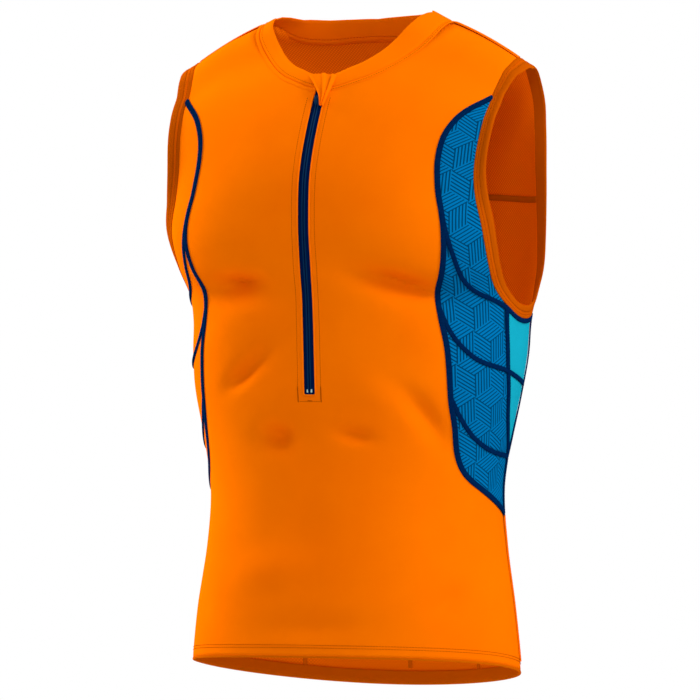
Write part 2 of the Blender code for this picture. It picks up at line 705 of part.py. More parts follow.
# Side panels and underarm inserts
side_grids = {
    "side_panel_{}_1": fill_between(
        [cross_1[-1]] * (COLUMNS_CRESCENT + 1), [front_1_to_armhole[-1]] * (COLUMNS_CRESCENT + 1),
        joined(cross_1[::-1], front_1_to_armhole), places(arm_seam_to_side)[::-1]),
    "side_panel_{}_2": fill_between(cross_2, cross_1, front_2_to_1, side_2_to_armhole),
    "side_panel_{}_3": fill_between(cross_3, cross_2, front_3_to_2, side_3_to_2),
    "side_panel_{}_4": fill_between(front_tip_to_bend[::-1], cross_3, front_bend_to_3,
                                    side_tip_to_3),
    "insert_{}_1": fill_between(cross_2_insert, places(arm_side_to_insert), side_2_to_armhole,
                                insert_2_to_armhole),
    "insert_{}_2": fill_between([side_3_to_2[0]] * (COLUMNS_INSERT + 1), cross_2_insert,
                                side_3_to_2, insert_3_to_2),
}
SIDE_COLOURS = {("side", "left"): "blue", ("insert", "left"): "cyan",
                ("side", "right"): "orange", ("insert", "right"): "orange_mesh"}
side_spots = {pattern: spots(grid) for pattern, grid in side_grids.items()}
for pattern, grid in side_spots.items():
    left_grid = trim_edges(grid)
    kind = pattern.split("_")[0]
    wall(pattern.format("left"), left_grid, SIDE_COLOURS[kind, "left"])
    wall(pattern.format("right"), mirrored(left_grid), SIDE_COLOURS[kind, "right"])


def standing_edge(rows, portions, closed):
    """Lines of (point, normal) that carry on past a panel's edge: each row of the edge gives the
    width of the band and how far it stands out, and portions says where each line lies."""
    spots_on_edge = [spot(row[:2]) for row in rows]
    lines = []
    count = len(rows)
    for i, row in enumerate(rows):
        point, normal = spots_on_edge[i]
        before = spots_on_edge[(i - 1) % count if closed else max(i - 1, 0)][0]
        after = spots_on_edge[(i + 1) % count if closed else min(i + 1, count - 1)][0]
        aside = normal.cross(after - before).normalized()
        width, lean = row[2], math.radians(row[3])
        out = aside * math.cos(lean) + normal * math.sin(lean)
        turned = normal * math.cos(lean) - aside * math.sin(lean)
        lines.append([(point + out * (2 * HALF_SEAM_GAP + width * portion), turned)
                      for portion in portions])
    return lines


def by_columns(lines):
    """Swap rows and columns."""
    return [list(line) for line in zip(*lines)]


# Armhole bindings: closed rings on the armhole's own points
binding = by_columns(standing_edge(armhole_loop, (0.0, 0.5, 1.0), closed=True))
wall("armhole_binding_left", binding, "orange_band", thickness=BAND_WALL, ring=True)
wall("armhole_binding_right", mirrored(binding), "orange_band", thickness=BAND_WALL, ring=True)

# Collar: a low stand band from one side of the zip round the neck to the other
collar_half = standing_edge(joined(neck_rows, neck_back_rows), (0.0, 0.5, 1.0), closed=False)
collar_lines = collar_half + mirrored(collar_half)[::-1][1:]
for line, side in ((collar_lines[0], 1.0), (collar_lines[-1], -1.0)):
    for k, (point, normal) in enumerate(line):
        line[k] = (Vector((side * SLOT_HALF_WIDTH, point.y, point.z)), normal)
wall("collar", by_columns(collar_lines), "orange", thickness=BAND_WALL)

# Hem turn-up: a ring inside the hem, on the hem points of the front and the lower back
front_ring = [(front_grid[0][c], front_grid[1][c]) for c in range(len(front_grid[0]))]
back_ring = [(back_spots[0][c], back_spots[1][c]) for c in range(1, COLUMNS_BACK)]
turnup = []
for (low_point, normal), (high_point, high_normal) in front_ring + back_ring:
    rise = high_point - low_point
    turnup.append([(low_point + rise.normalized() * HEM_TURNUP_START, normal),
                   (low_point + rise.normalized() * HEM_TURNUP, normal)])
wall("hem_turnup", by_columns(turnup), "orange_band", outside=-PANEL_WALL - INSIDE_GAP,
     thickness=TAPE_WALL, ring=True)


# Zip: tapes under the slot's edges, the closed coil between them, its stop and slider
def zip_lines(xs, levels):
    lines = []
    for level in levels:
        depth = depth_of(level)
        lines.append([spot((angle_at_x(x, depth), depth)) for x in xs])
    return lines


# The tapes lie behind the first column of the front's cells, from just beside the middle outwards
tape = []
for r in range(slot_rows_low - 1, len(front_half)):
    (edge, normal), (beside, _) = front_half[r][:2]
    away = (beside - edge).normalized()
    tape.append([(edge + away * (x - SLOT_HALF_WIDTH), normal) for x in (TAPE_START, TAPE_REACH)])
tape[0] = [(low[0].lerp(high[0], TAPE_LOW_PART), low[1]) for low, high in zip(tape[0], tape[1])]
wall("zip_tape_left", tape, "navy", outside=-PANEL_WALL - INSIDE_GAP, thickness=TAPE_WALL)
wall("zip_tape_right", mirrored(tape), "navy", outside=-PANEL_WALL - INSIDE_GAP,
     thickness=TAPE_WALL)
coil = zip_lines((-COIL_HALF_WIDTH, COIL_HALF_WIDTH), [SLOT_BOTTOM + 0.001]
                 + slot_levels[slot_rows_low + 1:])
wall("zip_coil", coil, "navy", outside=COIL_RISE, thickness=PANEL_WALL)
for name, (width, length), level, colour, height in (
        ("zip_stop", STOP_SIZE, STOP_LEVEL, "stop_grey", STOP_HEIGHT),
        ("zip_slider", SLIDER_SIZE, SLIDER_LEVEL, "navy", SLIDER_HEIGHT)):
    block = zip_lines((-width / 2, width / 2), (level - length / 2, level + length / 2))
    wall(name, block, colour, outside=BLOCK_RISE + height, thickness=height)

# Zip garage: a folded flap from the wearer's left edge over the top of the zip
# x at the flap's free edge, x at its sewn edge, level, rise over the zip
GARAGE = (
    (0.0030, 0.0095, -0.0620, 0.0012),
    (-0.0010, 0.0115, -0.0540, 0.0034),
    (-0.0065, 0.0130, -0.0440, 0.0038),
    (-0.0125, 0.0140, -0.0340, 0.0036),
)
flap = []
for free_x, sewn_x, level, rise in GARAGE:
    depth = depth_of(level)
    line = []
    for portion in (0.0, 0.25, 0.5, 0.75, 1.0):
        x = free_x + (sewn_x - free_x) * portion
        point, normal = spot((angle_at_x(x, depth), depth))
        lift = rise * (1 - portion ** 3) + GARAGE_LIFT
        line.append((point + normal * lift, normal))
    flap.append(line)
wall("zip_garage", flap, "orange", outside=PANEL_WALL)

# Inside tapes: over the back neck seam and the yoke seam
neck_columns = range(COLUMNS_RIDGE, COLUMNS_BACK - COLUMNS_RIDGE + 1)
neck_tape = []
for c in neck_columns:
    (edge, normal), (below, _) = yoke_spots[-1][c], yoke_spots[-2][c]
    down = (below - edge).normalized()
    neck_tape.append([(edge + down * (NECK_TAPE_START + width), normal)
                      for width in (0.0, INSIDE_TAPE_WIDTH)])
wall("neck_tape", neck_tape[2:-2], "orange_band", outside=-PANEL_WALL - INSIDE_GAP,
     thickness=TAPE_WALL)
yoke_path = seam_path(yoke_spots[0], back_spots[-2], yoke_spots[1])
lay_strip("yoke_tape", cut_path(yoke_path, YOKE_TAPE_TRIM, YOKE_TAPE_TRIM), "orange_band",
          half_width=INSIDE_TAPE_WIDTH / 2, outside=-PANEL_WALL - INSIDE_GAP, height=TAPE_WALL)

# Flat-lock seams: flat bands of thread on the joins, cut short where another one crosses. A path
# reads its two sides from the next lines of points of the panels beside it.
def column(name, c):
    return [line[c] for line in side_spots[name]]


front_beside = [line[-2] for line in front_spots]
back_beside = [line[1] for line in back_spots]
beside_front_seam = joined(side_spots["side_panel_{}_4"][1][::-1],
                           column("side_panel_{}_4", 1), column("side_panel_{}_3", 1),
                           column("side_panel_{}_2", 1),
                           column("side_panel_{}_1", 1)[COLUMNS_SIDE:])
first_row = ROWS_HEM_TO_TIP
front_seam_path = seam_path(
    [line[-1] for line in front_spots[first_row:first_row + len(beside_front_seam)]],
    front_beside[first_row:], beside_front_seam,
    slanted=(COLUMNS_SIDE + ROWS_TIP_TO_CROSS_3,
             COLUMNS_SIDE + ROWS_TIP_TO_CROSS_3 + ROWS_CROSS_3_TO_2,
             COLUMNS_SIDE + ROWS_TIP_TO_CROSS_3 + ROWS_CROSS_3_TO_2 + ROWS_CROSS_2_TO_1))
hem_path = seam_path([line[-1] for line in front_spots[:first_row + 1]], front_beside, back_beside)
tip_path = seam_path(column("side_panel_{}_4", -1), column("side_panel_{}_4", -2),
                     back_beside[first_row:])
low_side_path = seam_path(column("insert_{}_2", 0), column("side_panel_{}_3", -2),
                          column("insert_{}_2", 1))
high_side_path = seam_path(column("insert_{}_1", 0), column("side_panel_{}_2", -2),
                           column("insert_{}_1", 1))
insert_path = seam_path(
    joined(column("insert_{}_2", -1), column("insert_{}_1", -1)),
    joined(column("insert_{}_2", -2), column("insert_{}_1", -2)),
    back_beside[first_row + ROWS_TIP_TO_CROSS_3:])
cross_path_1 = seam_path(side_spots["side_panel_{}_2"][-1],
                         column("side_panel_{}_1", 1)[COLUMNS_SIDE::-1],
                         side_spots["side_panel_{}_2"][-2])
cross_path_2 = seam_path(
    joined(side_spots["side_panel_{}_3"][-1], side_spots["insert_{}_2"][-1]),
    joined(side_spots["side_panel_{}_2"][1], side_spots["insert_{}_1"][1]),
    joined(side_spots["side_panel_{}_3"][-2], side_spots["insert_{}_2"][-2]))
cross_path_3 = seam_path(side_spots["side_panel_{}_4"][-1], side_spots["side_panel_{}_3"][1],
                         side_spots["side_panel_{}_4"][-2])

# The first cross seam runs on over the insert, just below the armhole's edge
under_arm = []
for point, normal, _, down in seam_path(side_spots["insert_{}_1"][-1], side_spots["insert_{}_1"][-2],
                                        side_spots["insert_{}_1"][-2]):
    under_arm.append((point + down * UNDER_ARM_DROP, normal, -down, down))
cross_path_1 = cut_path(cross_path_1, 0.0, UNDER_ARM_BEND) + under_arm

# The front seam's band stops where the first cross seam runs beside it
front_join = COLUMNS_SIDE + ROWS_TIP_TO_CROSS_3 + ROWS_CROSS_3_TO_2 + ROWS_CROSS_2_TO_1

# path, length off its start, length off its end, colour
SEAM_BANDS = {
    "seam_front_{}_1": (front_seam_path[COLUMNS_SIDE:front_join - 2], CROSS_TRIM, 0.0, "navy"),
    "seam_front_{}_2": (front_seam_path[front_join + 1:], 0.0, ARMHOLE_TRIM, "navy"),
    "seam_cross_{}_1": (cross_path_1, LONG_SLANT_TRIM, CROSS_TRIM, "navy"),
    "seam_cross_{}_2": (cross_path_2, SLANT_TRIM, CROSS_TRIM, "navy"),
    "seam_cross_{}_3": (cross_path_3, SLANT_TRIM, 2 * CROSS_TRIM, "navy"),
    "seam_side_{}_1": (high_side_path, CROSS_TRIM, UNDER_ARM_TRIM, "navy"),
    "seam_side_{}_2": (low_side_path, CROSS_TRIM, CROSS_TRIM, "navy"),
    "seam_side_{}_3": (tip_path, TIP_TRIM, CROSS_TRIM, "navy"),
    "seam_side_{}_4": (hem_path, HEM_TRIM, CROSS_TRIM, "orange_band"),
    "seam_insert_{}": (insert_path, SLANT_TRIM, UNDER_ARM_TRIM, "navy"),
}
for pattern, (path, from_start, from_end, colour) in SEAM_BANDS.items():
    band = cut_path(path, from_start, from_end)
    lay_strip(pattern.format("left"), band, colour)
    lay_strip(pattern.format("right"), mirrored_rows(band), colour)
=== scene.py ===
"""Triathlon singlet: the looks of the cut and sewn knit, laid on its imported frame.

Metres. The wearer faces -Y, their left is +X and +Z is up. A place on the cloth is an angle round the
body, from 0 at the front centre through 90 at the wearer's left to 180 at the back centre, and a
depth down it, and seams are curves through a few such places.
"""
import math

import bmesh
import bpy
import numpy as np
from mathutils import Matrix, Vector


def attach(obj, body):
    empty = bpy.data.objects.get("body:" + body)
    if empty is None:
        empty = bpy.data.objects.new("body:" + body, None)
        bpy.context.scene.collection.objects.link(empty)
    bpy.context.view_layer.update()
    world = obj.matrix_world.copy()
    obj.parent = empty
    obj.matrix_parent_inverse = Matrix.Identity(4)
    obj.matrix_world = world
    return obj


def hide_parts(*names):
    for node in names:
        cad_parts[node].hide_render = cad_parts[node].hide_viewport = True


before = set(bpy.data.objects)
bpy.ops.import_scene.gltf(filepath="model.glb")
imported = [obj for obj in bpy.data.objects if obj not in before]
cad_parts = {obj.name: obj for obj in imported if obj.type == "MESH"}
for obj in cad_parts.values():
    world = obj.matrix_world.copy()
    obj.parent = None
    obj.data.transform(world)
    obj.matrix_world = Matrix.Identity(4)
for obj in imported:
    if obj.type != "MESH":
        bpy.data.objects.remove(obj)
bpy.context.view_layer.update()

# ---------------------------------------------------------------------------------------------
# Stage. A plain pale floor where a wearer would stand, white surroundings behind and beside the
# garment and dimmer ones behind the camera, two large soft lamps at the sides and a weaker one in
# front. The camera is far off at the garment's middle height, turned to the wearer's left front.
CAMERA_TURN = math.radians(27.0)
CAMERA_DISTANCE = 10.0
AIM = Vector((0.0, 0.0, -0.305))
AXIS_OFFSET = 0.007
FLOOR_LEVEL, FLOOR_REACH, FLOOR_GREY = -1.45, 6.0, 0.66
SKY_DIM = 0.32

bpy.context.scene.view_settings.view_transform = "Standard"
camera_back = Vector((math.sin(CAMERA_TURN), -math.cos(CAMERA_TURN), 0.0))
camera_right = Vector((math.cos(CAMERA_TURN), math.sin(CAMERA_TURN), 0.0))
camera = bpy.data.objects.new("camera", bpy.data.cameras.new("camera"))
bpy.context.scene.collection.objects.link(camera)
camera.location = AIM + camera_back * CAMERA_DISTANCE - camera_right * AXIS_OFFSET
camera.rotation_euler = (math.pi / 2, 0.0, CAMERA_TURN)
camera.data.sensor_width = 36.0
camera.data.lens = 514.3
camera.data.clip_end = 60.0
bpy.context.scene.camera = camera

world = bpy.data.worlds.new("pale sky")
bpy.context.scene.world = world
world.use_nodes = True
sky_nodes = world.node_tree.nodes
sky_way = sky_nodes.new("ShaderNodeTexCoord")
sky_dot = sky_nodes.new("ShaderNodeVectorMath")
sky_dot.operation = "DOT_PRODUCT"
sky_dot.inputs[1].default_value = -camera_back
sky_range = sky_nodes.new("ShaderNodeMapRange")
sky_range.interpolation_type = "SMOOTHSTEP"
for key, value in (("From Min", -0.50), ("From Max", 0.45), ("To Min", SKY_DIM), ("To Max", 1.0)):
    sky_range.inputs[key].default_value = value
world.node_tree.links.new(sky_way.outputs["Generated"], sky_dot.inputs[0])
world.node_tree.links.new(sky_dot.outputs["Value"], sky_range.inputs["Value"])
world.node_tree.links.new(sky_range.outputs["Result"], sky_nodes["Background"].inputs["Strength"])
sky_nodes["Background"].inputs["Color"].default_value = (1.0, 1.0, 1.0, 1.0)

# name, turn from the camera in degrees, height, distance, side of the square lamp, power
LAMPS = (
    ("lamp_left", -122.0, 1.2, 2.6, 1.0, 124.0),
    ("lamp_right", 52.0, 1.8, 2.5, 1.0, 72.0),
    ("lamp_front", 4.0, 1.5, 2.9, 0.8, 28.0),
)
for name, turn, height, distance, side, power in LAMPS:
    lamp = bpy.data.objects.new(name, bpy.data.lights.new(name, "AREA"))
    bpy.context.scene.collection.objects.link(lamp)
    lamp.data.size = side
    lamp.data.energy = power
    angle = CAMERA_TURN + math.radians(turn)
    lamp.location = AIM + Vector((math.sin(angle) * distance, -math.cos(angle) * distance, height))
    lamp.rotation_euler = (AIM - lamp.location).to_track_quat("-Z", "Y").to_euler()

floor_mesh = bmesh.new()
bmesh.ops.create_grid(floor_mesh, x_segments=4, y_segments=4, size=FLOOR_REACH)
bmesh.ops.translate(floor_mesh, verts=floor_mesh.verts, vec=(0.0, 0.0, FLOOR_LEVEL))
floor = bpy.data.objects.new("floor", bpy.data.meshes.new("floor"))
floor_mesh.to_mesh(floor.data)
floor_mesh.free()
bpy.context.scene.collection.objects.link(floor)
floor_paint = bpy.data.materials.new("pale floor")
floor_paint.use_nodes = True
floor_skin = floor_paint.node_tree.nodes["Principled BSDF"]
floor_skin.inputs["Base Color"].default_value = (FLOOR_GREY, FLOOR_GREY, FLOOR_GREY, 1.0)
floor_skin.inputs["Roughness"].default_value = 0.8
floor.data.materials.append(floor_paint)

# ---------------------------------------------------------------------------------------------
# Front. One panel of smooth orange interlock knit from the neck to the hem, slashed down the middle
# for the zip, with soft folds where it bridges the chest and waist.

# Rings of the figure: level, half width of the front, of the back, front depth, back depth, widest
# line's y, squareness front, squareness back
FIGURE = (
    (0.042, 0.210, 0.210, 0.000, 0.000, 0.004, 3.20, 3.20),
    (0.030, 0.213, 0.207, 0.0265, 0.031, 0.004, 3.60, 2.90),
    (0.000, 0.216, 0.202, 0.046, 0.060, 0.004, 4.20, 2.60),
    (-0.035, 0.215, 0.197, 0.0750, 0.079, 0.004, 3.10, 2.40),
    (-0.080, 0.211, 0.193, 0.100, 0.096, 0.003, 2.40, 2.30),
    (-0.130, 0.200, 0.190, 0.118, 0.107, 0.003, 2.35, 2.35),
    (-0.175, 0.190, 0.188, 0.122, 0.111, 0.004, 2.80, 2.45),
    (-0.215, 0.183, 0.186, 0.120, 0.113, 0.005, 2.65, 2.50),
    (-0.245, 0.178, 0.181, 0.117, 0.113, 0.006, 2.25, 2.50),
    (-0.275, 0.175, 0.175, 0.115, 0.112, 0.007, 2.22, 2.50),
    (-0.310, 0.174, 0.174, 0.111, 0.111, 0.005, 2.30, 2.40),
    (-0.345, 0.171, 0.171, 0.107, 0.108, 0.003, 2.30, 2.20),
    (-0.395, 0.161, 0.161, 0.101, 0.104, 0.001, 2.25, 2.20),
    (-0.445, 0.154, 0.154, 0.100, 0.101, -0.001, 2.15, 2.20),
    (-0.500, 0.157, 0.157, 0.103, 0.104, -0.001, 2.20, 2.20),
    (-0.560, 0.166, 0.166, 0.107, 0.110, -0.002, 2.25, 2.15),
    (-0.620, 0.173, 0.173, 0.110, 0.114, -0.002, 2.20, 2.10),
    (-0.650, 0.175, 0.175, 0.111, 0.115, -0.002, 2.20, 2.10),
)
RIDGE_LEVEL = 0.042
LOWEST_LEVEL = -0.650
SHOULDER_FALL = 1.8
FALL_FADES_AT = -0.300
MEAN_RADIUS = 0.15

# Soft folds: angle, level, half length, half width, turn from level in degrees, depth below the
# figure (a ridge's is negative)
FOLDS = (
    (-28.0, -0.2430, 0.030, 0.0145, 4.0, 0.0130),
    (-15.0, -0.250, 0.030, 0.016, -8.0, 0.0029),
    (33.0, -0.2420, 0.046, 0.0125, -15.0, 0.0122),
    (-28.0, -0.2400, 0.024, 0.0070, 4.0, 0.0056),
    (30.0, -0.2395, 0.034, 0.0070, -15.0, 0.0046),
    (-15.0, -0.3885, 0.012, 0.0070, 0.0, 0.0040),
    (22.0, -0.224, 0.030, 0.012, -14.0, 0.0022),
    (-33.0, -0.196, 0.040, 0.022, 0.0, -0.0026),
    (30.0, -0.196, 0.046, 0.022, -10.0, -0.0022),
    (-34.0, -0.285, 0.034, 0.020, 10.0, -0.0022),
    (38.0, -0.285, 0.034, 0.018, -16.0, -0.0019),
    (-22.5, -0.3190, 0.030, 0.010, 36.0, 0.0066),
    (-28.5, -0.3330, 0.018, 0.008, 32.0, 0.0048),
    (-15.0, -0.3920, 0.018, 0.014, 0.0, 0.0098),
    (-10.0, -0.410, 0.030, 0.022, 70.0, 0.0019),
    (16.8, -0.3900, 0.018, 0.007, -12.0, 0.0060),
    (-12.0, -0.350, 0.022, 0.014, 36.0, -0.0019),
    (23.0, -0.350, 0.026, 0.015, -38.0, -0.0019),
    (42.0, -0.371, 0.036, 0.011, -48.0, 0.0078),
    (-10.0, -0.455, 0.044, 0.020, 86.0, 0.0034),
    (-2.0, -0.500, 0.034, 0.016, 82.0, 0.0026),
    (-16.0, -0.522, 0.045, 0.020, 8.0, -0.0036),
    (54.0, -0.552, 0.026, 0.011, 30.0, 0.0052),
    (2.0, -0.579, 0.046, 0.012, 2.0, 0.0036),
    (-52.0, -0.560, 0.026, 0.012, -32.0, 0.0022),
    (24.0, -0.560, 0.040, 0.014, 14.0, -0.0016),
    (62.0, -0.478, 0.034, 0.011, 44.0, -0.0019),
    (158.0, -0.250, 0.044, 0.014, 15.0, 0.0034),
    (204.0, -0.262, 0.040, 0.013, -20.0, 0.0030),
    (142.0, -0.310, 0.044, 0.012, -20.0, 0.0022),
    (222.0, -0.326, 0.040, 0.012, 24.0, 0.0024),
    (172.0, -0.430, 0.050, 0.013, 5.0, 0.0034),
    (196.0, -0.404, 0.040, 0.011, -12.0, 0.0022),
    (160.0, -0.468, 0.040, 0.012, -8.0, 0.0024),
    (180.0, -0.200, 0.060, 0.014, 90.0, 0.0016),
    (210.0, -0.120, 0.040, 0.014, 40.0, 0.0014),
    (150.0, -0.110, 0.040, 0.014, -44.0, 0.0016),
)

# Seams of the front: angle, level and, at a join, its name
BEND_LEVEL = -0.424
FRONT_SEAM = (
    (41.7, -0.005, "armhole"), (39.4, -0.026), (37.6, -0.046), (36.8, -0.070),
    (37.7, -0.096), (39.9, -0.125), (42.2, -0.158, "cross 1"), (43.9, -0.194),
    (44.8, -0.228), (45.7, -0.262, "cross 2"), (48.3, -0.300), (51.0, -0.352, "cross 3"),
    (55.0, -0.383), (58.1, -0.408), (62.5, BEND_LEVEL, "bend"), (69.0, -0.435),
    (81.0, -0.447), (107.0, -0.468, "tip"),
)
SIDE_SEAM = (
    (79.2, -0.257, "armhole"), (81.0, -0.295), (83.4, -0.326, "cross 2"), (90.0, -0.366),
    (103.0, -0.411, "cross 3"), (105.0, -0.435), (107.0, -0.468, "tip"), (107.0, -0.540),
    (107.0, -0.620, "hem"),
)
# Armhole: angle, level, width of the binding, degrees that it stands out, name of the join
ARMHOLE = (
    (48.8, 0.042, 0.0170, 0.0, "ridge front"), (46.4, 0.035, 0.0155, 12.0),
    (44.0, 0.024, 0.0140, 22.0), (42.1, 0.009, 0.0130, 30.0),
    (41.7, -0.005, 0.0120, 34.0, "front seam"), (44.4, -0.038, 0.0120, 39.0),
    (49.0, -0.090, 0.0120, 39.0), (53.5, -0.132, 0.0120, 28.0),
    (59.4, -0.187, 0.0120, 12.0), (67.0, -0.229, 0.0120, 3.0),
    (79.2, -0.257, 0.0120, 0.0, "side seam"), (95.0, -0.271, 0.0120, 0.0),
    (113.0, -0.2645, 0.0120, 3.0, "insert back"), (117.5, -0.235, 0.0120, 12.0),
    (117.5, -0.190, 0.0120, 27.0), (116.5, -0.1255, 0.0120, 38.0, "yoke"),
    (118.5, -0.070, 0.0120, 40.0), (123.5, -0.012, 0.0120, 33.0),
    (128.5, 0.022, 0.0140, 18.0), (131.2, 0.042, 0.0170, 0.0, "ridge back"),
)
# Neck: angle, level, height and lean of the collar, name of the join
NECK = (
    (0.0, -0.0455, 0.0145, 2.0, "front centre"), (4.2, -0.0425, 0.0150, 3.0),
    (8.5, -0.0360, 0.0160, 4.0), (12.6, -0.0280, 0.0170, 5.0),
    (16.6, -0.0155, 0.0180, 7.0), (19.8, -0.0020, 0.0195, 8.0),
    (22.6, 0.0130, 0.0210, 8.0), (25.0, 0.0290, 0.0205, 7.0),
    (27.0, 0.0420, 0.0165, 6.0, "ridge front"),
)
HEM_FRONT, HEM_SIDE, HEM_BACK = -0.609, -0.620, -0.642
SLOT_HALF_WIDTH = 0.0061
SLOT_BOTTOM = -0.3495
CLOTH_THICKNESS = 0.0010
EDGE_DIPS = (0.00040, 0.00012)

# Cells between the joins of the seams, and across the panels
ROWS = {"hem to tip": 32, "tip to bend": 20, "bend to 3": 24, "3 to 2": 20, "2 to 1": 20,
        "1 to armhole": 40, "seam to ridge": 12, "insert to yoke": 28, "yoke to ridge": 32}
NECK_COLUMNS, RIDGE_COLUMNS = 30, 15
READINGS, UNTANGLE_ROUNDS = 12, 400
STEP_ROUND, STEP_DOWN = 0.2, 0.002


def depth_of(level):
    """How far down a ring lies: 0 on the shoulder ridge, 1 at the lowest level, evenly spaced over
    the rounded shoulder."""
    return np.sqrt((RIDGE_LEVEL - np.asarray(level, float)) / (RIDGE_LEVEL - LOWEST_LEVEL))


def level_of(depth):
    return RIDGE_LEVEL - depth * depth * (RIDGE_LEVEL - LOWEST_LEVEL)


def hermite(keys, rows, at):
    """Smooth curves through rows of numbers, read at many keys."""
    at = np.asarray(at, float)
    low = np.maximum(np.arange(len(keys)) - 1, 0)
    high = np.minimum(np.arange(len(keys)) + 1, len(keys) - 1)
    slopes = (rows[high] - rows[low]) / (keys[high] - keys[low])[:, None]
    i = np.clip(np.searchsorted(keys, at, side="right") - 1, 0, len(keys) - 2)
    span = (keys[i + 1] - keys[i])[..., None]
    t = (at - keys[i])[..., None] / span
    return ((1 + 2 * t) * (1 - t) ** 2 * rows[i] + t * t * (3 - 2 * t) * rows[i + 1]
            + t * (1 - t) ** 2 * span * slopes[i] + t * t * (t - 1) * span * slopes[i + 1])


FIGURE_ROWS = np.array([row[1:] for row in FIGURE])
FIGURE_KEYS = depth_of([row[0] for row in FIGURE])


def figure_points(places):
    """The plain figure at places (angle in degrees, depth)."""
    angle, depth = places[..., 0], np.maximum(places[..., 1], 0.0)
    row = np.moveaxis(hermite(FIGURE_KEYS, FIGURE_ROWS, depth), -1, 0)
    sine, cosine = np.sin(np.radians(angle)), np.cos(np.radians(angle))
    front = cosine > 0
    half_width, reach_y = np.where(front, row[0], row[1]), np.where(front, row[2], row[3])
    square = np.where(front, row[5], row[6])
    reach = (abs(sine) ** square + abs(cosine) ** square) ** (-1.0 / square)
    x = half_width * sine * reach
    level = level_of(depth)
    t = np.clip((level - FALL_FADES_AT) / (RIDGE_LEVEL - FALL_FADES_AT), 0.0, 1.0)
    fall = SHOULDER_FALL * t * t * (3 - 2 * t)
    return np.stack((x, row[4] - reach_y * cosine * reach, level - fall * x * x), axis=-1)


def unit(vectors):
    return vectors / np.maximum(np.linalg.norm(vectors, axis=-1, keepdims=True), 1e-12)


def normals_of(points_at, places):
    """Outward normals of a surface, from points a little round and down."""
    round_it = points_at(places + (STEP_ROUND, 0.0)) - points_at(places - (STEP_ROUND, 0.0))
    above = np.stack((places[..., 0], np.maximum(places[..., 1] - STEP_DOWN, 0.0)), axis=-1)
    return unit(np.cross(points_at(places + (0.0, STEP_DOWN)) - points_at(above), round_it))


def fold_depth(places):
    """How far the soft folds draw the cloth in."""
    level, total = level_of(np.maximum(places[..., 1], 0.0)), 0.0
    for at_angle, at_level, length, width, turn, deep in FOLDS:
        across = np.radians((places[..., 0] - at_angle + 180.0) % 360.0 - 180.0) * MEAN_RADIUS
        up = level - at_level
        cosine, sine = math.cos(math.radians(turn)), math.sin(math.radians(turn))
        along, aside = across * cosine + up * sine, up * cosine - across * sine
        total = total + deep * np.exp(-(along / length) ** 2 - (aside / width) ** 2)
    return total


def cloth_points(places):
    """The cloth's outer face."""
    return figure_points(places) - normals_of(figure_points, places) * fold_depth(places)[..., None]


def surface(places):
    return cloth_points(places), normals_of(cloth_points, places)


def run_lengths(points):
    """Length along a line of points, from its first one."""
    return np.concatenate(([0.0], np.cumsum(np.linalg.norm(np.diff(points, axis=0), axis=1))))


def read_at(steps, lengths, rows):
    """Rows known at some lengths along a line, read at other ones."""
    return np.stack([np.interp(steps, lengths, column) for column in rows.T], axis=1)


def evenly(rows, count):
    """Rows that start with a place, read again at even steps along the cloth."""
    lengths = run_lengths(cloth_points(rows[:, :2]))
    return read_at(np.linspace(0.0, lengths[-1], count + 1), lengths, rows)


class Seam:
    """A smooth curve through a table of places, with named joins."""

    def __init__(self, table):
        numbers = [[part for part in row if not isinstance(part, str)] for row in table]
        self.rows = np.array([(angle, depth_of(level), *more) for angle, level, *more in numbers], float)
        self.keys = run_lengths(cloth_points(self.rows[:, :2]))
        self.joins = {row[-1]: key for row, key in zip(table, self.keys) if isinstance(row[-1], str)}

    def stretch(self, start, end, count):
        rows = hermite(self.keys, self.rows,
                       np.linspace(self.joins[start], self.joins[end], READINGS * count + 1))
        rows[:, 1] = np.maximum(rows[:, 1], 0.0)
        return evenly(rows, count)


def joined(*stretches):
    """Stretches end to end, without the doubled joins."""
    return np.concatenate([stretches[0]] + [stretch[1:] for stretch in stretches[1:]])


def fill_between(bottom, top, left, right):
    """A grid of places between four edges that meet at the corners."""
    up = np.linspace(0.0, 1.0, len(left))[:, None, None]
    over = np.linspace(0.0, 1.0, len(bottom))[None, :, None]
    edges = (1 - up) * bottom + up * top + (1 - over) * left[:, None] + over * right[:, None]
    return (edges - (1 - up) * ((1 - over) * bottom[0] + over * bottom[-1])
            - up * ((1 - over) * top[0] + over * top[-1]))


def untangled(places):
    """The same grid with its inner places moved so that no cell folds over at a corner."""
    scale = np.array((1 / 360.0, 1.0))
    g = places * scale
    for _ in range(UNTANGLE_ROUNDS):
        across, along = (g[1:-1, 2:] - g[1:-1, :-2]) / 2, (g[2:, 1:-1] - g[:-2, 1:-1]) / 2
        a, c = (along ** 2).sum(-1, keepdims=True), (across ** 2).sum(-1, keepdims=True)
        b = (along * across).sum(-1, keepdims=True)
        twist = (g[2:, 2:] - g[2:, :-2] - g[:-2, 2:] + g[:-2, :-2]) / 4
        g[1:-1, 1:-1] = ((a * (g[1:-1, 2:] + g[1:-1, :-2]) + c * (g[2:, 1:-1] + g[:-2, 1:-1])
                          - 2 * b * twist) / (2 * (a + c) + 1e-12))
    return g / scale


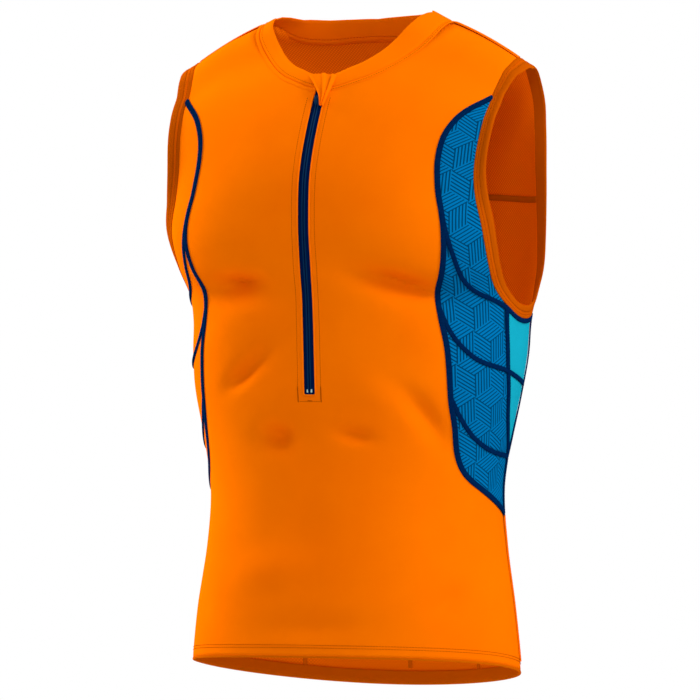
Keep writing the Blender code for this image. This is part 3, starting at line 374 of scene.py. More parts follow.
# The knit's own flat coordinates in metres: round the body from the front or back centre, and up it
FLAT_STEP, FLAT_ROWS = 3.0, 100
FLAT_ANGLES, FLAT_DEPTHS = np.linspace(-180.0, 360.0, 181), np.linspace(0.0, 1.0, FLAT_ROWS + 1)
BACK_STARTS_AT = 130.0
flat_places = np.stack(np.meshgrid(FLAT_ANGLES, FLAT_DEPTHS), axis=-1)
flat_points = figure_points(flat_places)
flat_round = np.linalg.norm(np.diff(flat_points, axis=1), axis=-1).cumsum(axis=1)
flat_round = np.pad(flat_round, ((0, 0), (1, 0)))
flat_down = np.linalg.norm(np.diff(flat_points, axis=0), axis=-1).cumsum(axis=0)
flat_down = np.pad(flat_down, ((1, 0), (0, 0)))
flat_down -= flat_down[np.argmin(abs(level_of(FLAT_DEPTHS) - FALL_FADES_AT))]


def flat_uv(places):
    """Flat coordinates of a piece's places, read between the nearest measured ones."""
    middle = 180.0 if places[..., 0].mean() > BACK_STARTS_AT else 0.0
    round_it = flat_round - flat_round[:, [np.argmin(abs(FLAT_ANGLES - middle))]]
    column = np.clip((places[..., 0] - FLAT_ANGLES[0]) / FLAT_STEP, 0, len(FLAT_ANGLES) - 1.001)
    row = np.clip(places[..., 1] * FLAT_ROWS, 0, FLAT_ROWS - 0.001)
    c, r = column.astype(int), row.astype(int)
    over, up = column - c, row - r
    read = [(1 - up) * ((1 - over) * table[r, c] + over * table[r, c + 1])
            + up * ((1 - over) * table[r + 1, c] + over * table[r + 1, c + 1])
            for table in (round_it, -flat_down)]
    return np.stack(read, axis=-1)


SHARP_ANGLE = math.radians(40.0)


def smooth_data(name, mesh):
    """The data of a built mesh, shaded smooth but for its sharp edges."""
    data = bpy.data.meshes.new(name)
    mesh.to_mesh(data)
    mesh.free()
    data.shade_smooth()
    data.set_sharp_from_angle(angle=SHARP_ANGLE)
    return data


def sewn(name, data, material, nodes=()):
    """A piece that rides with the garment and stands for its plain solids."""
    data.materials.append(material)
    piece = bpy.data.objects.new(name, data)
    bpy.context.scene.collection.objects.link(piece)
    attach(piece, "root")
    if nodes:
        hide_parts(*nodes)
    return piece


def mesh_piece(name, points, uv, material, slot, nodes=(), outward=None, thickness=0.0, skip=()):
    """A piece from a grid of points. Its faces turn to `outward`, a grid of directions, and it gets
    its thickness inwards; with no `outward` it is a closed tube, whose ends are filled."""
    rows, columns = points.shape[0] - 1, points.shape[1] - 1
    mesh = bmesh.new()
    bmesh.ops.create_grid(mesh, x_segments=columns, y_segments=rows, size=1.0)
    mesh.verts.index_update()
    order = sorted(mesh.verts, key=lambda vert: (round(vert.co.y, 5), round(vert.co.x, 5)))
    flat_uvs = {}
    for vert, point, pair in zip(order, points.reshape(-1, 3), uv.reshape(-1, 2)):
        vert.co = point
        flat_uvs[vert.index] = pair
    grid = [order[r * (columns + 1):(r + 1) * (columns + 1)] for r in range(rows + 1)]
    layer = mesh.loops.layers.uv.new("cloth")
    for face in mesh.faces:
        for loop in face.loops:
            loop[layer].uv = flat_uvs[loop.vert.index]
    if skip:
        gone = [face for r, c in skip for face in grid[r][c].link_faces
                if grid[r + 1][c + 1] in face.verts]
        bmesh.ops.delete(mesh, geom=gone, context="FACES")
    if outward is not None:
        r, c = rows // 2, columns // 4
        face = grid[r][c].link_faces[0]
        bmesh.ops.remove_doubles(mesh, verts=mesh.verts, dist=1e-6)
        mesh.normal_update()
        if face.is_valid and face.normal.dot(Vector(outward[r, c])) < 0:
            bmesh.ops.reverse_faces(mesh, faces=mesh.faces)
    else:
        bmesh.ops.remove_doubles(mesh, verts=mesh.verts, dist=1e-6)
        ends = [edge for edge in mesh.edges if edge.is_boundary]
        bmesh.ops.holes_fill(mesh, edges=ends, sides=0)
        bmesh.ops.recalc_face_normals(mesh, faces=mesh.faces)
    piece = sewn(name, smooth_data(name, mesh), material, nodes)
    if thickness:
        shell = piece.modifiers.new("wall", "SOLIDIFY")
        shell.thickness = thickness
        shell.offset = -1.0
    return piece


def edge_dips(rows, columns):
    """How far each point of a panel's grid sinks towards its sewn edges."""
    r, c = np.meshgrid(np.arange(rows + 1), np.arange(columns + 1), indexing="ij")
    near = np.min((c, columns - c, r, rows - r), axis=0)
    return np.select([near == 0, near == 1], EDGE_DIPS, 0.0)


def cloth_piece(name, places, material, slot, node, outside=0.0, skip=()):
    """A panel of knit on a grid of places, with the flat coordinates of the sheet that it was cut from."""
    points, normals = surface(places)
    heights = outside - edge_dips(places.shape[0] - 1, places.shape[1] - 1)
    uv = flat_uv(places)
    piece = mesh_piece(name, points + normals * heights[..., None], uv, material, slot, [node], normals,
                       CLOTH_THICKNESS, skip)
    corners = (uv[:-1, :-1], uv[:-1, 1:], uv[1:, 1:], uv[1:, :-1])
    area = abs(sum(a[..., 0] * b[..., 1] - b[..., 0] * a[..., 1]
                   for a, b in zip(corners, corners[1:] + corners[:1])) / 2)
    for r, c in skip:
        area[r, c] = 0.0


def dye(code):
    """The linear colour of a hex code."""
    parts = [int(code[i:i + 2], 16) / 255 for i in (1, 3, 5)]
    return (*[part / 12.92 if part <= 0.04045 else ((part + 0.055) / 1.055) ** 2.4 for part in parts], 1.0)


def shader(material):
    """A material's node tree and its shader."""
    return material.node_tree, material.node_tree.nodes["Principled BSDF"]


def add_node(tree, kind, inputs=(), output=None, **settings):
    """One output of a new shader node, whose inputs are given as values or as sockets to link."""
    made = tree.nodes.new("ShaderNode" + kind)
    for key, value in settings.items():
        setattr(made, key, value)
    for key, value in dict(inputs).items():
        if isinstance(value, bpy.types.NodeSocket):
            tree.links.new(value, made.inputs[key])
        else:
            made.inputs[key].default_value = value
    return made.outputs[output or 0]


def maths(tree, operation, *values):
    return add_node(tree, "Math", enumerate(values), operation=operation)


def vector_maths(tree, operation, *values, output="Vector"):
    return add_node(tree, "VectorMath", enumerate(values), output, operation=operation)


def mixed(tree, share, low, high):
    """The colour between two, each a hex code or a socket."""
    low, high = [dye(end) if isinstance(end, str) else end for end in (low, high)]
    return add_node(tree, "MixRGB", {"Fac": share, "Color1": low, "Color2": high})


def paint(material, colour):
    tree, skin = shader(material)
    tree.links.new(colour, skin.inputs["Base Color"])


def flat_place(tree):
    """The cloth's own flat coordinates."""
    return add_node(tree, "UVMap", uv_map="cloth")


def wave(tree, pitch, direction, distortion, detail=1.0):
    """Waves of one pitch over the flat cloth."""
    return add_node(tree, "TexWave", {"Vector": flat_place(tree), "Scale": 2 * math.pi / 20 / pitch,
                    "Distortion": distortion, "Detail": detail}, "Fac", bands_direction=direction)


def dyed_material(name, colour, roughness, specular=0.0):
    made = bpy.data.materials.new(name)
    made.use_nodes = True
    skin = shader(made)[1]
    skin.inputs["Base Color"].default_value = dye(colour)
    skin.inputs["Roughness"].default_value = roughness
    skin.inputs["Specular IOR Level"].default_value = specular
    return made


def bump(material, height, strength):
    tree, skin = shader(material)
    normal = add_node(tree, "Bump", {"Height": height, "Strength": strength, "Distance": 0.0002})
    tree.links.new(normal, skin.inputs["Normal"])


KNIT_WALE, KNIT_COURSE = 0.0008, 0.0006


def knit_bump(material, strength, more=None):
    """Loops of the knit and its fine grain as a bump."""
    tree = material.node_tree
    loops = maths(tree, "ADD", wave(tree, KNIT_WALE, "X", 0.6), wave(tree, KNIT_COURSE, "Y", 0.4))
    grain = add_node(tree, "TexNoise", {"Vector": flat_place(tree), "Scale": 520.0, "Detail": 2.0}, "Fac")
    height = maths(tree, "ADD", loops, grain)
    bump(material, height if more is None else maths(tree, "ADD", height, more), strength)


def uneven_dye(material, light, dark, scale):
    """Slow, faint changes of the dye between two colours over the garment."""
    tree = material.node_tree
    where = add_node(tree, "TexCoord", output="Object")
    slow = add_node(tree, "TexNoise", {"Vector": where, "Scale": scale, "Detail": 3.0, "Roughness": 0.6},
                    "Fac")
    colour = mixed(tree, slow, dark, light)
    paint(material, colour)
    return colour


def angle_at_x(x, depth, back=False):
    """The angle of the point on the front, or on the back, that lies x from the middle."""
    row = np.moveaxis(hermite(FIGURE_KEYS, FIGURE_ROWS, depth), -1, 0)
    half_width, square = row[[1, 6]] if back else row[[0, 5]]
    part = (abs(x) / half_width) ** square
    angle = np.sign(x) * np.degrees(np.arctan((part / (1 - part)) ** (1 / square)))
    return 180.0 - angle if back else angle


def hem_level(angle):
    cosine = np.cos(np.radians(angle))
    return (HEM_SIDE + (HEM_FRONT - HEM_BACK) / 2 * cosine
            + ((HEM_FRONT + HEM_BACK) / 2 - HEM_SIDE) * cosine * cosine)


def at_levels(angles, level_at):
    """Places at a level for each angle."""
    return np.stack((angles, depth_of(level_at(angles))), axis=1)


def level_line(start, end, count):
    """Places evenly between two places."""
    return np.linspace(start[:2], end[:2], count + 1)


front_seam, side_seam, armhole, neck = Seam(FRONT_SEAM), Seam(SIDE_SEAM), Seam(ARMHOLE), Seam(NECK)
hem_to_tip = side_seam.stretch("hem", "tip", ROWS["hem to tip"])
hem_to_tip[0, 1] = depth_of(hem_level(hem_to_tip[0, 0]))
front_tip_to_bend = front_seam.stretch("tip", "bend", ROWS["tip to bend"])
front_bend_to_3 = front_seam.stretch("bend", "cross 3", ROWS["bend to 3"])
front_3_to_2 = front_seam.stretch("cross 3", "cross 2", ROWS["3 to 2"])
front_2_to_1 = front_seam.stretch("cross 2", "cross 1", ROWS["2 to 1"])
front_1_to_armhole = front_seam.stretch("cross 1", "armhole", ROWS["1 to armhole"])
arm_ridge_to_seam = armhole.stretch("ridge front", "front seam", ROWS["seam to ridge"])
neck_rows = neck.stretch("front centre", "ridge front", NECK_COLUMNS)
neck_rows[0, 0] = angle_at_x(SLOT_HALF_WIDTH, neck_rows[0, 1])

slot_upper_rows = ROWS["3 to 2"] + ROWS["2 to 1"] + ROWS["1 to armhole"] + ROWS["seam to ridge"]
slot_steps = ((HEM_FRONT, ROWS["hem to tip"]), (FRONT_SEAM[-1][1], ROWS["tip to bend"]),
              (BEND_LEVEL, ROWS["bend to 3"]), (SLOT_BOTTOM, slot_upper_rows), (NECK[0][1], 1))
slot_levels = [np.linspace(level, above, count, endpoint=False)
               for (level, count), (above, _) in zip(slot_steps, slot_steps[1:])]
slot_levels = np.concatenate(slot_levels + [[NECK[0][1]]])
slot_row = len(slot_levels) - 1 - slot_upper_rows
slot_depths = depth_of(slot_levels)
slot_edge = np.stack((angle_at_x(SLOT_HALF_WIDTH, slot_depths), slot_depths), axis=1)
front_edge = joined(hem_to_tip, front_tip_to_bend, front_bend_to_3, front_3_to_2, front_2_to_1,
                    front_1_to_armhole, arm_ridge_to_seam[::-1, :2])
front_hem = at_levels(np.linspace(slot_edge[0, 0], hem_to_tip[0, 0], NECK_COLUMNS + RIDGE_COLUMNS + 1),
                      hem_level)
front_top = joined(neck_rows[:, :2], level_line(neck_rows[-1], front_edge[-1], RIDGE_COLUMNS))
front_half = untangled(fill_between(front_hem, front_top, slot_edge, front_edge))
front_centre = np.stack((np.zeros_like(slot_depths), slot_depths), axis=1)[:, None]
front_places = np.concatenate((front_half[:, ::-1] * (-1, 1), front_centre, front_half), axis=1)
slot_column = front_half.shape[1] - 1
slot_cells = [(r, slot_column + c) for r in range(slot_row, len(slot_levels) - 1) for c in (0, 1)]

orange = dyed_material("orange interlock", "#f06c00", 0.75)
uneven_dye(orange, "#f47400", "#ea6400", 7.0)
knit_bump(orange, 0.35)
cloth_piece("front_cloth", front_places, orange, "orange_knit", "front", skip=slot_cells)

# ---------------------------------------------------------------------------------------------
# Zip. A navy reverse-coil zip sewn behind the slot: two woven tapes whose edges meet in two low
# ridges, the closed coil under them, two pale bottom stops and the slider at the top. The slot's
# folded edge stands up as a thin lip, topstitched down both sides and below.
TAPE_PROFILE = ((-0.00010, -0.00130), (0.00050, -0.00045), (0.00105, 0.00000), (0.00175, -0.00010),
                (0.00235, -0.00060), (0.00310, -0.00050), (0.00440, -0.00060), (0.00540, -0.00100),
                (0.00620, -0.00145), (0.01250, -0.00160))
RIDGE_PROFILE = ((-0.00075, -0.00070), (-0.00070, -0.00020), (-0.00035, 0.00015), (0.00035, 0.00015),
                 (0.00070, -0.00020), (0.00075, -0.00070))
RIDGE_ASIDE, RIDGE_BOTTOM = 0.00130, SLOT_BOTTOM + 0.0006
ZIP_TOP, TAPE_BOTTOM = -0.0345, SLOT_BOTTOM - 0.008
TAPE_THICKNESS, TWILL_PITCH = 0.0006, 0.0009
LIP_PROFILE = ((-0.0013, -0.0002), (-0.0012, 0.0002), (-0.0006, 0.00055), (0.0000, 0.0006),
               (0.0004, 0.0002), (0.0005, -0.0007), (0.0001, -0.0010))
SLOT_CORNER, LIP_ASIDE = 0.0018, 0.0003
TOPSTITCH_ASIDE, TOPSTITCH_ABOVE, TOPSTITCH_BELOW = 0.0127, 0.002, 0.0065
BOX_HEIGHT, BOX_STITCH_OUT = 0.0145, 0.0002
BARTACK_REACH, BARTACK_ABOVE, BARTACK_TURN = 0.0022, 0.0006, 1.35
STOP_ASIDE, STOP_LEVEL, STOP_SUNK = 0.0022, -0.3455, 0.0002
STOP_SIZE, STOP_ROUNDING = (0.0016, 0.0010, 0.0033), 0.0004
SLIDER_LEVEL = -0.0570
# The slider's body and crown: out of the cloth, above the slider's level, size, rounding
SLIDER_BLOCKS = ((0.0009, 0.0, (0.0070, 0.0022, 0.0092), 0.0009),
                 (0.0022, 0.0004, (0.0026, 0.0012, 0.0060), 0.0005))
COIL_PITCH, COIL_DEPTH, COIL_TURN = 0.0015, 0.0008, (0.0040, 0.0014, 0.0012)
# Stitches: pitch, then length, width and height of a thread
TOPSTITCH = (0.0024, (0.0019, 0.0008, 0.0004))
BOX_STITCH = (0.0012, (0.0013, 0.0014, 0.0006))
BARTACK = (0.0005, (0.0016, 0.0004, 0.0005))
SIDES = {"left": 1.0, "right": -1.0}


def lines_along(rows, side=1.0, closed=False):
    """Points, outward normals and the directions ahead and aside along a line of places on the
    cloth. Aside is up the body on a line that runs from the front to the wearer's left."""
    points, normals = surface(rows[:, :2] * (side, 1.0))
    if closed:
        ahead = np.roll(points, -1, axis=0) - np.roll(points, 1, axis=0)
    else:
        ahead = np.gradient(points, axis=0)
    ahead = unit(ahead)
    return points, normals, ahead, unit(np.cross(normals, ahead)) * side


def band_points(rows, profile, side=1.0, closed=False):
    """The grid of a band along a line on the cloth, with a profile of (across, height), and its flat
    coordinates. Where the rows hold a width and a lean as well, across is a share of the width and
    the band stands out by the lean."""
    points, normals, _, aside = lines_along(rows, side, closed)
    profile = np.array(profile)
    width, lean = np.ones(len(rows)), np.zeros(len(rows))
    if rows.shape[1] > 2:
        width, lean = rows[:, 2], np.radians(rows[:, 3])
    out = aside * np.cos(lean)[:, None] + normals * np.sin(lean)[:, None]
    up = normals * np.cos(lean)[:, None] - aside * np.sin(lean)[:, None]
    grid = (points[:, None] + out[:, None] * (profile[:, 0] * width[:, None])[..., None]
            + up[:, None] * profile[:, 1][None, :, None])
    along = run_lengths(points)
    if closed:
        grid = np.concatenate((grid, grid[:1]))
        along = np.append(along, along[-1] + np.linalg.norm(points[0] - points[-1]))
    across = run_lengths(profile * (width.mean(), 1.0))
    return grid, np.stack(np.broadcast_arrays(across[None, :], along[:, None]), axis=-1)


def ribbon(name, rows, profile, material, slot, *nodes, side=1.0, closed=False):
    """A band along a line on the cloth, its profile closed and, with `closed`, the line too."""
    mesh_piece(name, *band_points(rows, (*profile, profile[0]), side, closed), material, slot, nodes)


def at_pitch(rows, pitch):
    """Places at even steps of about one pitch along a line on the cloth."""
    rows = rows[:, :2]
    return evenly(rows, max(int(run_lengths(cloth_points(rows))[-1] / pitch), 2))


def scatter(name, points, normals, ahead, size, material, slot, *nodes):
    """Many small rounded threads in one mesh: their length lies ahead, and their height outwards."""
    seed = bmesh.new()
    bmesh.ops.create_uvsphere(seed, u_segments=6, v_segments=4, radius=0.5)
    seed.verts.index_update()
    shape = np.array([vert.co[:] for vert in seed.verts])
    faces = [[vert.index for vert in face.verts] for face in seed.faces]
    seed.free()
    aside = unit(np.cross(normals, ahead))
    axes = np.stack((aside, normals, unit(np.cross(aside, normals))), axis=1)
    verts = points[:, None] + np.einsum("vk,nkx->nvx", shape * (size[1], size[2], size[0]), axes)
    steps = np.arange(len(points)) * len(shape)
    data = bpy.data.meshes.new(name)
    data.from_pydata(verts.reshape(-1, 3).tolist(), [],
                     [[i + step for i in face] for step in steps.tolist() for face in faces])
    data.shade_smooth()
    sewn(name, data, material, nodes)


def stitch_line(name, rows, stitch, side=1.0, height=0.0, aside=0.0, turn=0.0):
    """A line of stitches along a line on the cloth, a step aside from it and turned to and fro."""
    pitch, size = stitch
    points, normals, ahead, across = lines_along(at_pitch(rows, pitch), side)
    swing = np.where(np.arange(len(points)) % 2, turn, -turn)[:, None]
    ahead = unit(ahead * np.cos(swing) + across * np.sin(swing))
    scatter(name, points + normals * height + across * aside, normals, ahead, size, thread_orange,
            "orange_thread")


def front_line(xs, levels):
    """Places on the front at distances from the middle and levels."""
    depth = depth_of(levels)
    return np.stack((angle_at_x(np.asarray(xs, float), depth), depth), axis=-1)


def straight(start, end, count):
    """A straight line on the front between two points, each (distance from the middle, level)."""
    return front_line(*np.linspace(start, end, count).T)


thread_orange = dyed_material("orange thread", "#9c4000", 0.6)
# A lighter navy: a painted highlight along the two ridges where the tapes meet, and the slider's own colour.
ridge_highlight_and_slider_navy = dyed_material("navy ridge highlight and slider", "#00284a", 0.6, specular=0.04)
zip_navy = dyed_material("navy zip tape", "#001038", 0.6)
twill_ribs_and_shade = wave(zip_navy.node_tree, TWILL_PITCH, "DIAGONAL", 0.3, detail=2.0)
bump(zip_navy, twill_ribs_and_shade, 0.5)
# The tape's navy follows the same twill waves as its bump, lighter on the raised ribs and darker in the
# grooves: painted shade on the weave.
paint(zip_navy, mixed(zip_navy.node_tree, twill_ribs_and_shade, "#00093a", "#00204c"))

tape_levels = np.linspace(TAPE_BOTTOM, ZIP_TOP, 128)
tape_xs, tape_heights = np.array(TAPE_PROFILE).T
for tag, side in SIDES.items():
    places = front_line(*np.meshgrid(tape_xs * side, tape_levels))
    points, normals = surface(places)
    mesh_piece(f"zip_tape_woven_{tag}", points + normals * tape_heights[None, :, None], flat_uv(places),
               zip_navy, "navy_zip", [f"zip_tape_{tag}"], normals, TAPE_THICKNESS)
coil_path = straight((0.0, SLOT_BOTTOM + 0.001), (0.0, SLIDER_LEVEL), 200)
turns = int((SLIDER_LEVEL - SLOT_BOTTOM) / COIL_PITCH)
points, normals, _, aside = lines_along(evenly(coil_path, turns))
scatter("zip_coil_turns", points - normals * COIL_DEPTH, normals, aside, COIL_TURN, zip_navy, "navy_zip",
        "zip_coil")
# The two ridges take the lighter navy, a painted highlight along them.
for tag, side in SIDES.items():
    line = straight((side * RIDGE_ASIDE, RIDGE_BOTTOM), (side * RIDGE_ASIDE, ZIP_TOP), 160)
    ribbon(f"zip_ridge_{tag}", line, RIDGE_PROFILE, ridge_highlight_and_slider_navy, "navy_zip")

# The lip: down one side of the slot, round its lower corners and up the other
lip_x = SLOT_HALF_WIDTH + LIP_ASIDE
corner = np.linspace(0.0, math.pi / 2, 7)[1:]
side_levels = np.linspace(NECK[0][1] - 0.0005, SLOT_BOTTOM + SLOT_CORNER, 110)
half_xs = np.append(np.full(len(side_levels), lip_x), lip_x - SLOT_CORNER * (1 - np.cos(corner)))
half_levels = np.append(side_levels, SLOT_BOTTOM + SLOT_CORNER * (1 - np.sin(corner)))
lip = front_line(np.append(-half_xs, half_xs[::-1]), np.append(half_levels, half_levels[::-1]))
ribbon("zip_slot_lip", lip, LIP_PROFILE, orange, "orange_knit")

box_top, box_bottom = SLIDER_LEVEL + TOPSTITCH_ABOVE, SLOT_BOTTOM - TOPSTITCH_BELOW
for tag, start, end in (("left", (TOPSTITCH_ASIDE, box_top), (TOPSTITCH_ASIDE, box_bottom)),
                        ("right", (-TOPSTITCH_ASIDE, box_top), (-TOPSTITCH_ASIDE, box_bottom)),
                        ("below", (-TOPSTITCH_ASIDE, box_bottom), (TOPSTITCH_ASIDE, box_bottom))):
    stitch_line(f"zip_topstitch_{tag}", straight(start, end, 80), TOPSTITCH)
for tag, side in SIDES.items():
    x = side * TOPSTITCH_ASIDE
    line = straight((x, box_bottom + BOX_HEIGHT), (x, box_bottom), 20)
    stitch_line(f"zip_box_stitch_{tag}", line, BOX_STITCH, height=BOX_STITCH_OUT)
bar_level = box_bottom + BARTACK_ABOVE
stitch_line("zip_bartack", straight((-BARTACK_REACH, bar_level), (BARTACK_REACH, bar_level), 12), BARTACK,
            turn=BARTACK_TURN)

stop_grey = dyed_material("pale stop", "#a8c8ca", 0.35, specular=0.3)


def hard_piece(name, blocks, material, slot, *nodes):
    """A small hard piece made of rounded blocks, each a centre, a size and a rounding."""
    mesh = bmesh.new()
    for centre, size, round_off in blocks:
        made = bmesh.ops.create_cube(mesh, size=1.0)["verts"]
        bmesh.ops.scale(mesh, vec=size, verts=made)
        bmesh.ops.translate(mesh, vec=centre, verts=made)
        edges = {edge for vert in made for edge in vert.link_edges}
        bmesh.ops.bevel(mesh, geom=list(edges), offset=round_off, offset_type="OFFSET", segments=3,
                        profile=0.5, affect="EDGES", material=-1)
    sewn(name, smooth_data(name, mesh), material, nodes)


stop_y = cloth_points(front_line(0.0, STOP_LEVEL))[1] + STOP_SUNK
stops = [((x, stop_y, STOP_LEVEL), STOP_SIZE, STOP_ROUNDING) for x in (-STOP_ASIDE, STOP_ASIDE)]
hard_piece("zip_bottom_stops", stops, stop_grey, "stop_grey", "zip_stop")
slider_y = cloth_points(front_line(0.0, SLIDER_LEVEL))[1]
blocks = [((0.0, slider_y - out, SLIDER_LEVEL + above), size, rounding)
          for out, above, size, rounding in SLIDER_BLOCKS]
hard_piece("zip_slider_body", blocks, ridge_highlight_and_slider_navy, "navy_zip", "zip_slider")

# ---------------------------------------------------------------------------------------------
# Garage. The folded end of the placket's left edge, a soft pointed flap that covers the slider and
# the top of the zip and is rolled at its free edge.

# x at its free edge, x at its sewn edge, level, rise over the zip
GARAGE = (
    (0.0050, 0.0084, -0.0640, 0.0010), (0.0022, 0.0100, -0.0550, 0.0026),
    (-0.0040, 0.0116, -0.0465, 0.0030), (-0.0096, 0.0128, -0.0400, 0.0030),
    (-0.0160, 0.0138, -0.0335, 0.0028),
)
GARAGE_LIFT, GARAGE_WALL = 0.0016, 0.0012
GARAGE_ROWS, GARAGE_COLUMNS = 34, 33
# Rolls of the folded cloth: portion across, half width as a portion, height
GARAGE_ROLLS = ((0.03, 0.05, 0.0010), (0.58, 0.06, 0.0021), (0.90, 0.06, 0.0022))
# The flap's outline past its sewn and its free edge: portion across, height over or under a face
SEWN_END = ((1.012, -0.0003), (1.012, 0.0003))
FREE_END = ((-0.014, 0.0002), (-0.022, 0.0006), (-0.014, 0.0010))

garage_table = np.array(GARAGE)
garage = hermite(garage_table[:, 2], garage_table, np.linspace(GARAGE[0][2], GARAGE[-1][2], GARAGE_ROWS))
portion = np.linspace(0.0, 1.0, GARAGE_COLUMNS)
top = garage[:, 3:] * (1 - portion ** 3) + GARAGE_LIFT + GARAGE_WALL
for middle, width, height in GARAGE_ROLLS:
    top = top + height * np.exp(-((portion - middle) / width) ** 2)
under = top - GARAGE_WALL
(over_x, over_z), (below_x, below_z) = SEWN_END
free_xs, free_zs = np.array(FREE_END).T
around = np.concatenate((portion, [over_x, below_x], portion[::-1], free_xs, [0.0]))
heights = np.concatenate((top, top[:, -1:] + over_z, under[:, -1:] + below_z, under[:, ::-1],
                          under[:, :1] + free_zs, top[:, :1]), axis=1)
xs = garage[:, :1] + (garage[:, 1:2] - garage[:, :1]) * around
places = front_line(xs, np.broadcast_to(garage[:, 2:3], xs.shape))
points, normals = surface(places)
mesh_piece("zip_garage_flap", points + normals * heights[..., None], flat_uv(places), orange,
           "orange_knit", ["zip_garage"])

# ---------------------------------------------------------------------------------------------
# Side panels. The wearer's left one is printed knit, the right one plain, each cut in four pieces
# that the slanting seams part, between the front seam and the side seam.
CROSS_SEAMS = {
    1: ((42.2, -0.158, "front seam"), (44.2, -0.180), (47.4, -0.204), (52.4, -0.229),
        (61.5, -0.246), (79.2, -0.257, "side seam")),
    2: ((45.7, -0.262, "front seam"), (49.5, -0.285), (54.6, -0.302), (63.4, -0.316),
        (83.4, -0.326, "side seam"), (98.0, -0.334), (112.0, -0.340, "insert back")),
    3: ((51.0, -0.352, "front seam"), (57.0, -0.373), (66.5, -0.393), (80.0, -0.405),
        (103.0, -0.411, "side seam")),
}
CRESCENT_COLUMNS, INSERT_COLUMNS = 14, 16
BLOCK_EDGE = 0.0220
STRIPE_PITCH = 0.0033
# Faces of the printed blocks: way that a face looks and way across its stripes, in degrees, and the
# dark share of a stripe
BLOCK_FACES = ((90.0, 120.0, 0.34), (210.0, 240.0, 0.40), (330.0, 0.0, 0.46))


def at_a_point(place, columns):
    """The edge of a panel that runs out to a point."""
    return np.tile(place, (columns + 1, 1))


cross = {number: Seam(table) for number, table in CROSS_SEAMS.items()}
side_tip_to_3 = side_seam.stretch("tip", "cross 3", ROWS["bend to 3"])
side_3_to_2 = side_seam.stretch("cross 3", "cross 2", ROWS["3 to 2"])
side_2_to_armhole = side_seam.stretch("cross 2", "armhole", ROWS["2 to 1"])
cross_1, cross_2, cross_3 = [cross[number].stretch("front seam", "side seam", ROWS["tip to bend"])
                             for number in (1, 2, 3)]
arm_seam_to_side = armhole.stretch("front seam", "side seam", ROWS["tip to bend"] + ROWS["1 to armhole"])
side_grids = {
    "1": fill_between(at_a_point(cross_1[-1], CRESCENT_COLUMNS),
                      at_a_point(front_1_to_armhole[-1], CRESCENT_COLUMNS),
                      joined(cross_1[::-1], front_1_to_armhole), arm_seam_to_side[::-1, :2]),
    "2": fill_between(cross_2, cross_1, front_2_to_1, side_2_to_armhole),
    "3": fill_between(cross_3, cross_2, front_3_to_2, side_3_to_2),
    "4": fill_between(front_tip_to_bend[::-1], cross_3, front_bend_to_3, side_tip_to_3),
}


def away(tree, vector):
    return vector_maths(tree, "LENGTH", vector, output="Value")


def staggered_cell(tree, width, height):
    """The way from the middle of the nearest cell, where every other row of cells is staggered."""
    flat = flat_place(tree)
    half = (width / 2, height / 2, 1.0)
    back = tuple(-size for size in half)
    first = vector_maths(tree, "WRAP", flat, half, back)
    second = vector_maths(tree, "WRAP", vector_maths(tree, "ADD", flat, (*half[:2], 0.0)), half, back)
    nearer = maths(tree, "LESS_THAN", away(tree, first), away(tree, second))
    return mixed(tree, nearer, second, first)


def reach(tree, cell, way, step=1.0):
    """How many steps a place lies from the middle of its cell, in a way given in degrees."""
    ahead = (math.cos(math.radians(way)) / step, math.sin(math.radians(way)) / step, 0.0)
    return vector_maths(tree, "DOT_PRODUCT", cell, ahead, output="Value")


def both_sides(cloth, node, grids, left, right):
    """Panels at the wearer's left and their mirror images, each side with its material."""
    for number, grid in grids.items():
        cloth_piece(f"{cloth}_left_{number}", grid, *left, f"{node}_left_{number}")
        cloth_piece(f"{cloth}_right_{number}", (grid * (-1, 1))[:, ::-1], *right, f"{node}_right_{number}")


blue_print = dyed_material("blue print", "#0080c0", 0.7)
knit_bump(blue_print, 0.3)
tree = blue_print.node_tree
cell = staggered_cell(tree, math.sqrt(3) * BLOCK_EDGE, 3 * BLOCK_EDGE)
looks = [reach(tree, cell, way) for way, _, _ in BLOCK_FACES]
dark_parts = []
for k, (_, across, share) in enumerate(BLOCK_FACES):
    stripe = maths(tree, "FRACT", reach(tree, cell, across, STRIPE_PITCH))
    on_face = maths(tree, "GREATER_THAN", looks[k], maths(tree, "MAXIMUM", looks[k - 1], looks[k - 2]))
    dark_parts.append(maths(tree, "MULTIPLY", on_face, maths(tree, "LESS_THAN", stripe, share)))
dark_total = maths(tree, "ADD", maths(tree, "ADD", *dark_parts[:2]), dark_parts[2])
paint(blue_print, mixed(tree, dark_total, "#0068a2", "#003a5e"))
both_sides("side_cloth", "side_panel", side_grids, (blue_print, "blue_print"), (orange, "orange_knit"))

# ---------------------------------------------------------------------------------------------
# Inserts. A soft fine-mesh gusset under each arm, cut in two by the second slanting seam: cyan at the
# wearer's left, orange at the right.
INSERT_BACK = ((113.0, -0.2645, "armhole"), (113.0, -0.300), (112.0, -0.340, "cross 2"),
               (108.0, -0.378), (103.0, -0.411, "cross 3"))
MESH_PITCH, MESH_HOLE, FINE_MESH_PITCH = 0.0034, 0.00090, 0.0018

insert_back = Seam(INSERT_BACK)
insert_3_to_2 = insert_back.stretch("cross 3", "cross 2", ROWS["3 to 2"])
insert_2_to_armhole = insert_back.stretch("cross 2", "armhole", ROWS["2 to 1"])
cross_2_insert = cross[2].stretch("side seam", "insert back", INSERT_COLUMNS)
arm_side_to_insert = armhole.stretch("side seam", "insert back", INSERT_COLUMNS)
insert_grids = {
    "1": fill_between(cross_2_insert, arm_side_to_insert[:, :2], side_2_to_armhole, insert_2_to_armhole),
    "2": fill_between(at_a_point(side_3_to_2[0], INSERT_COLUMNS), cross_2_insert, side_3_to_2, insert_3_to_2),
}


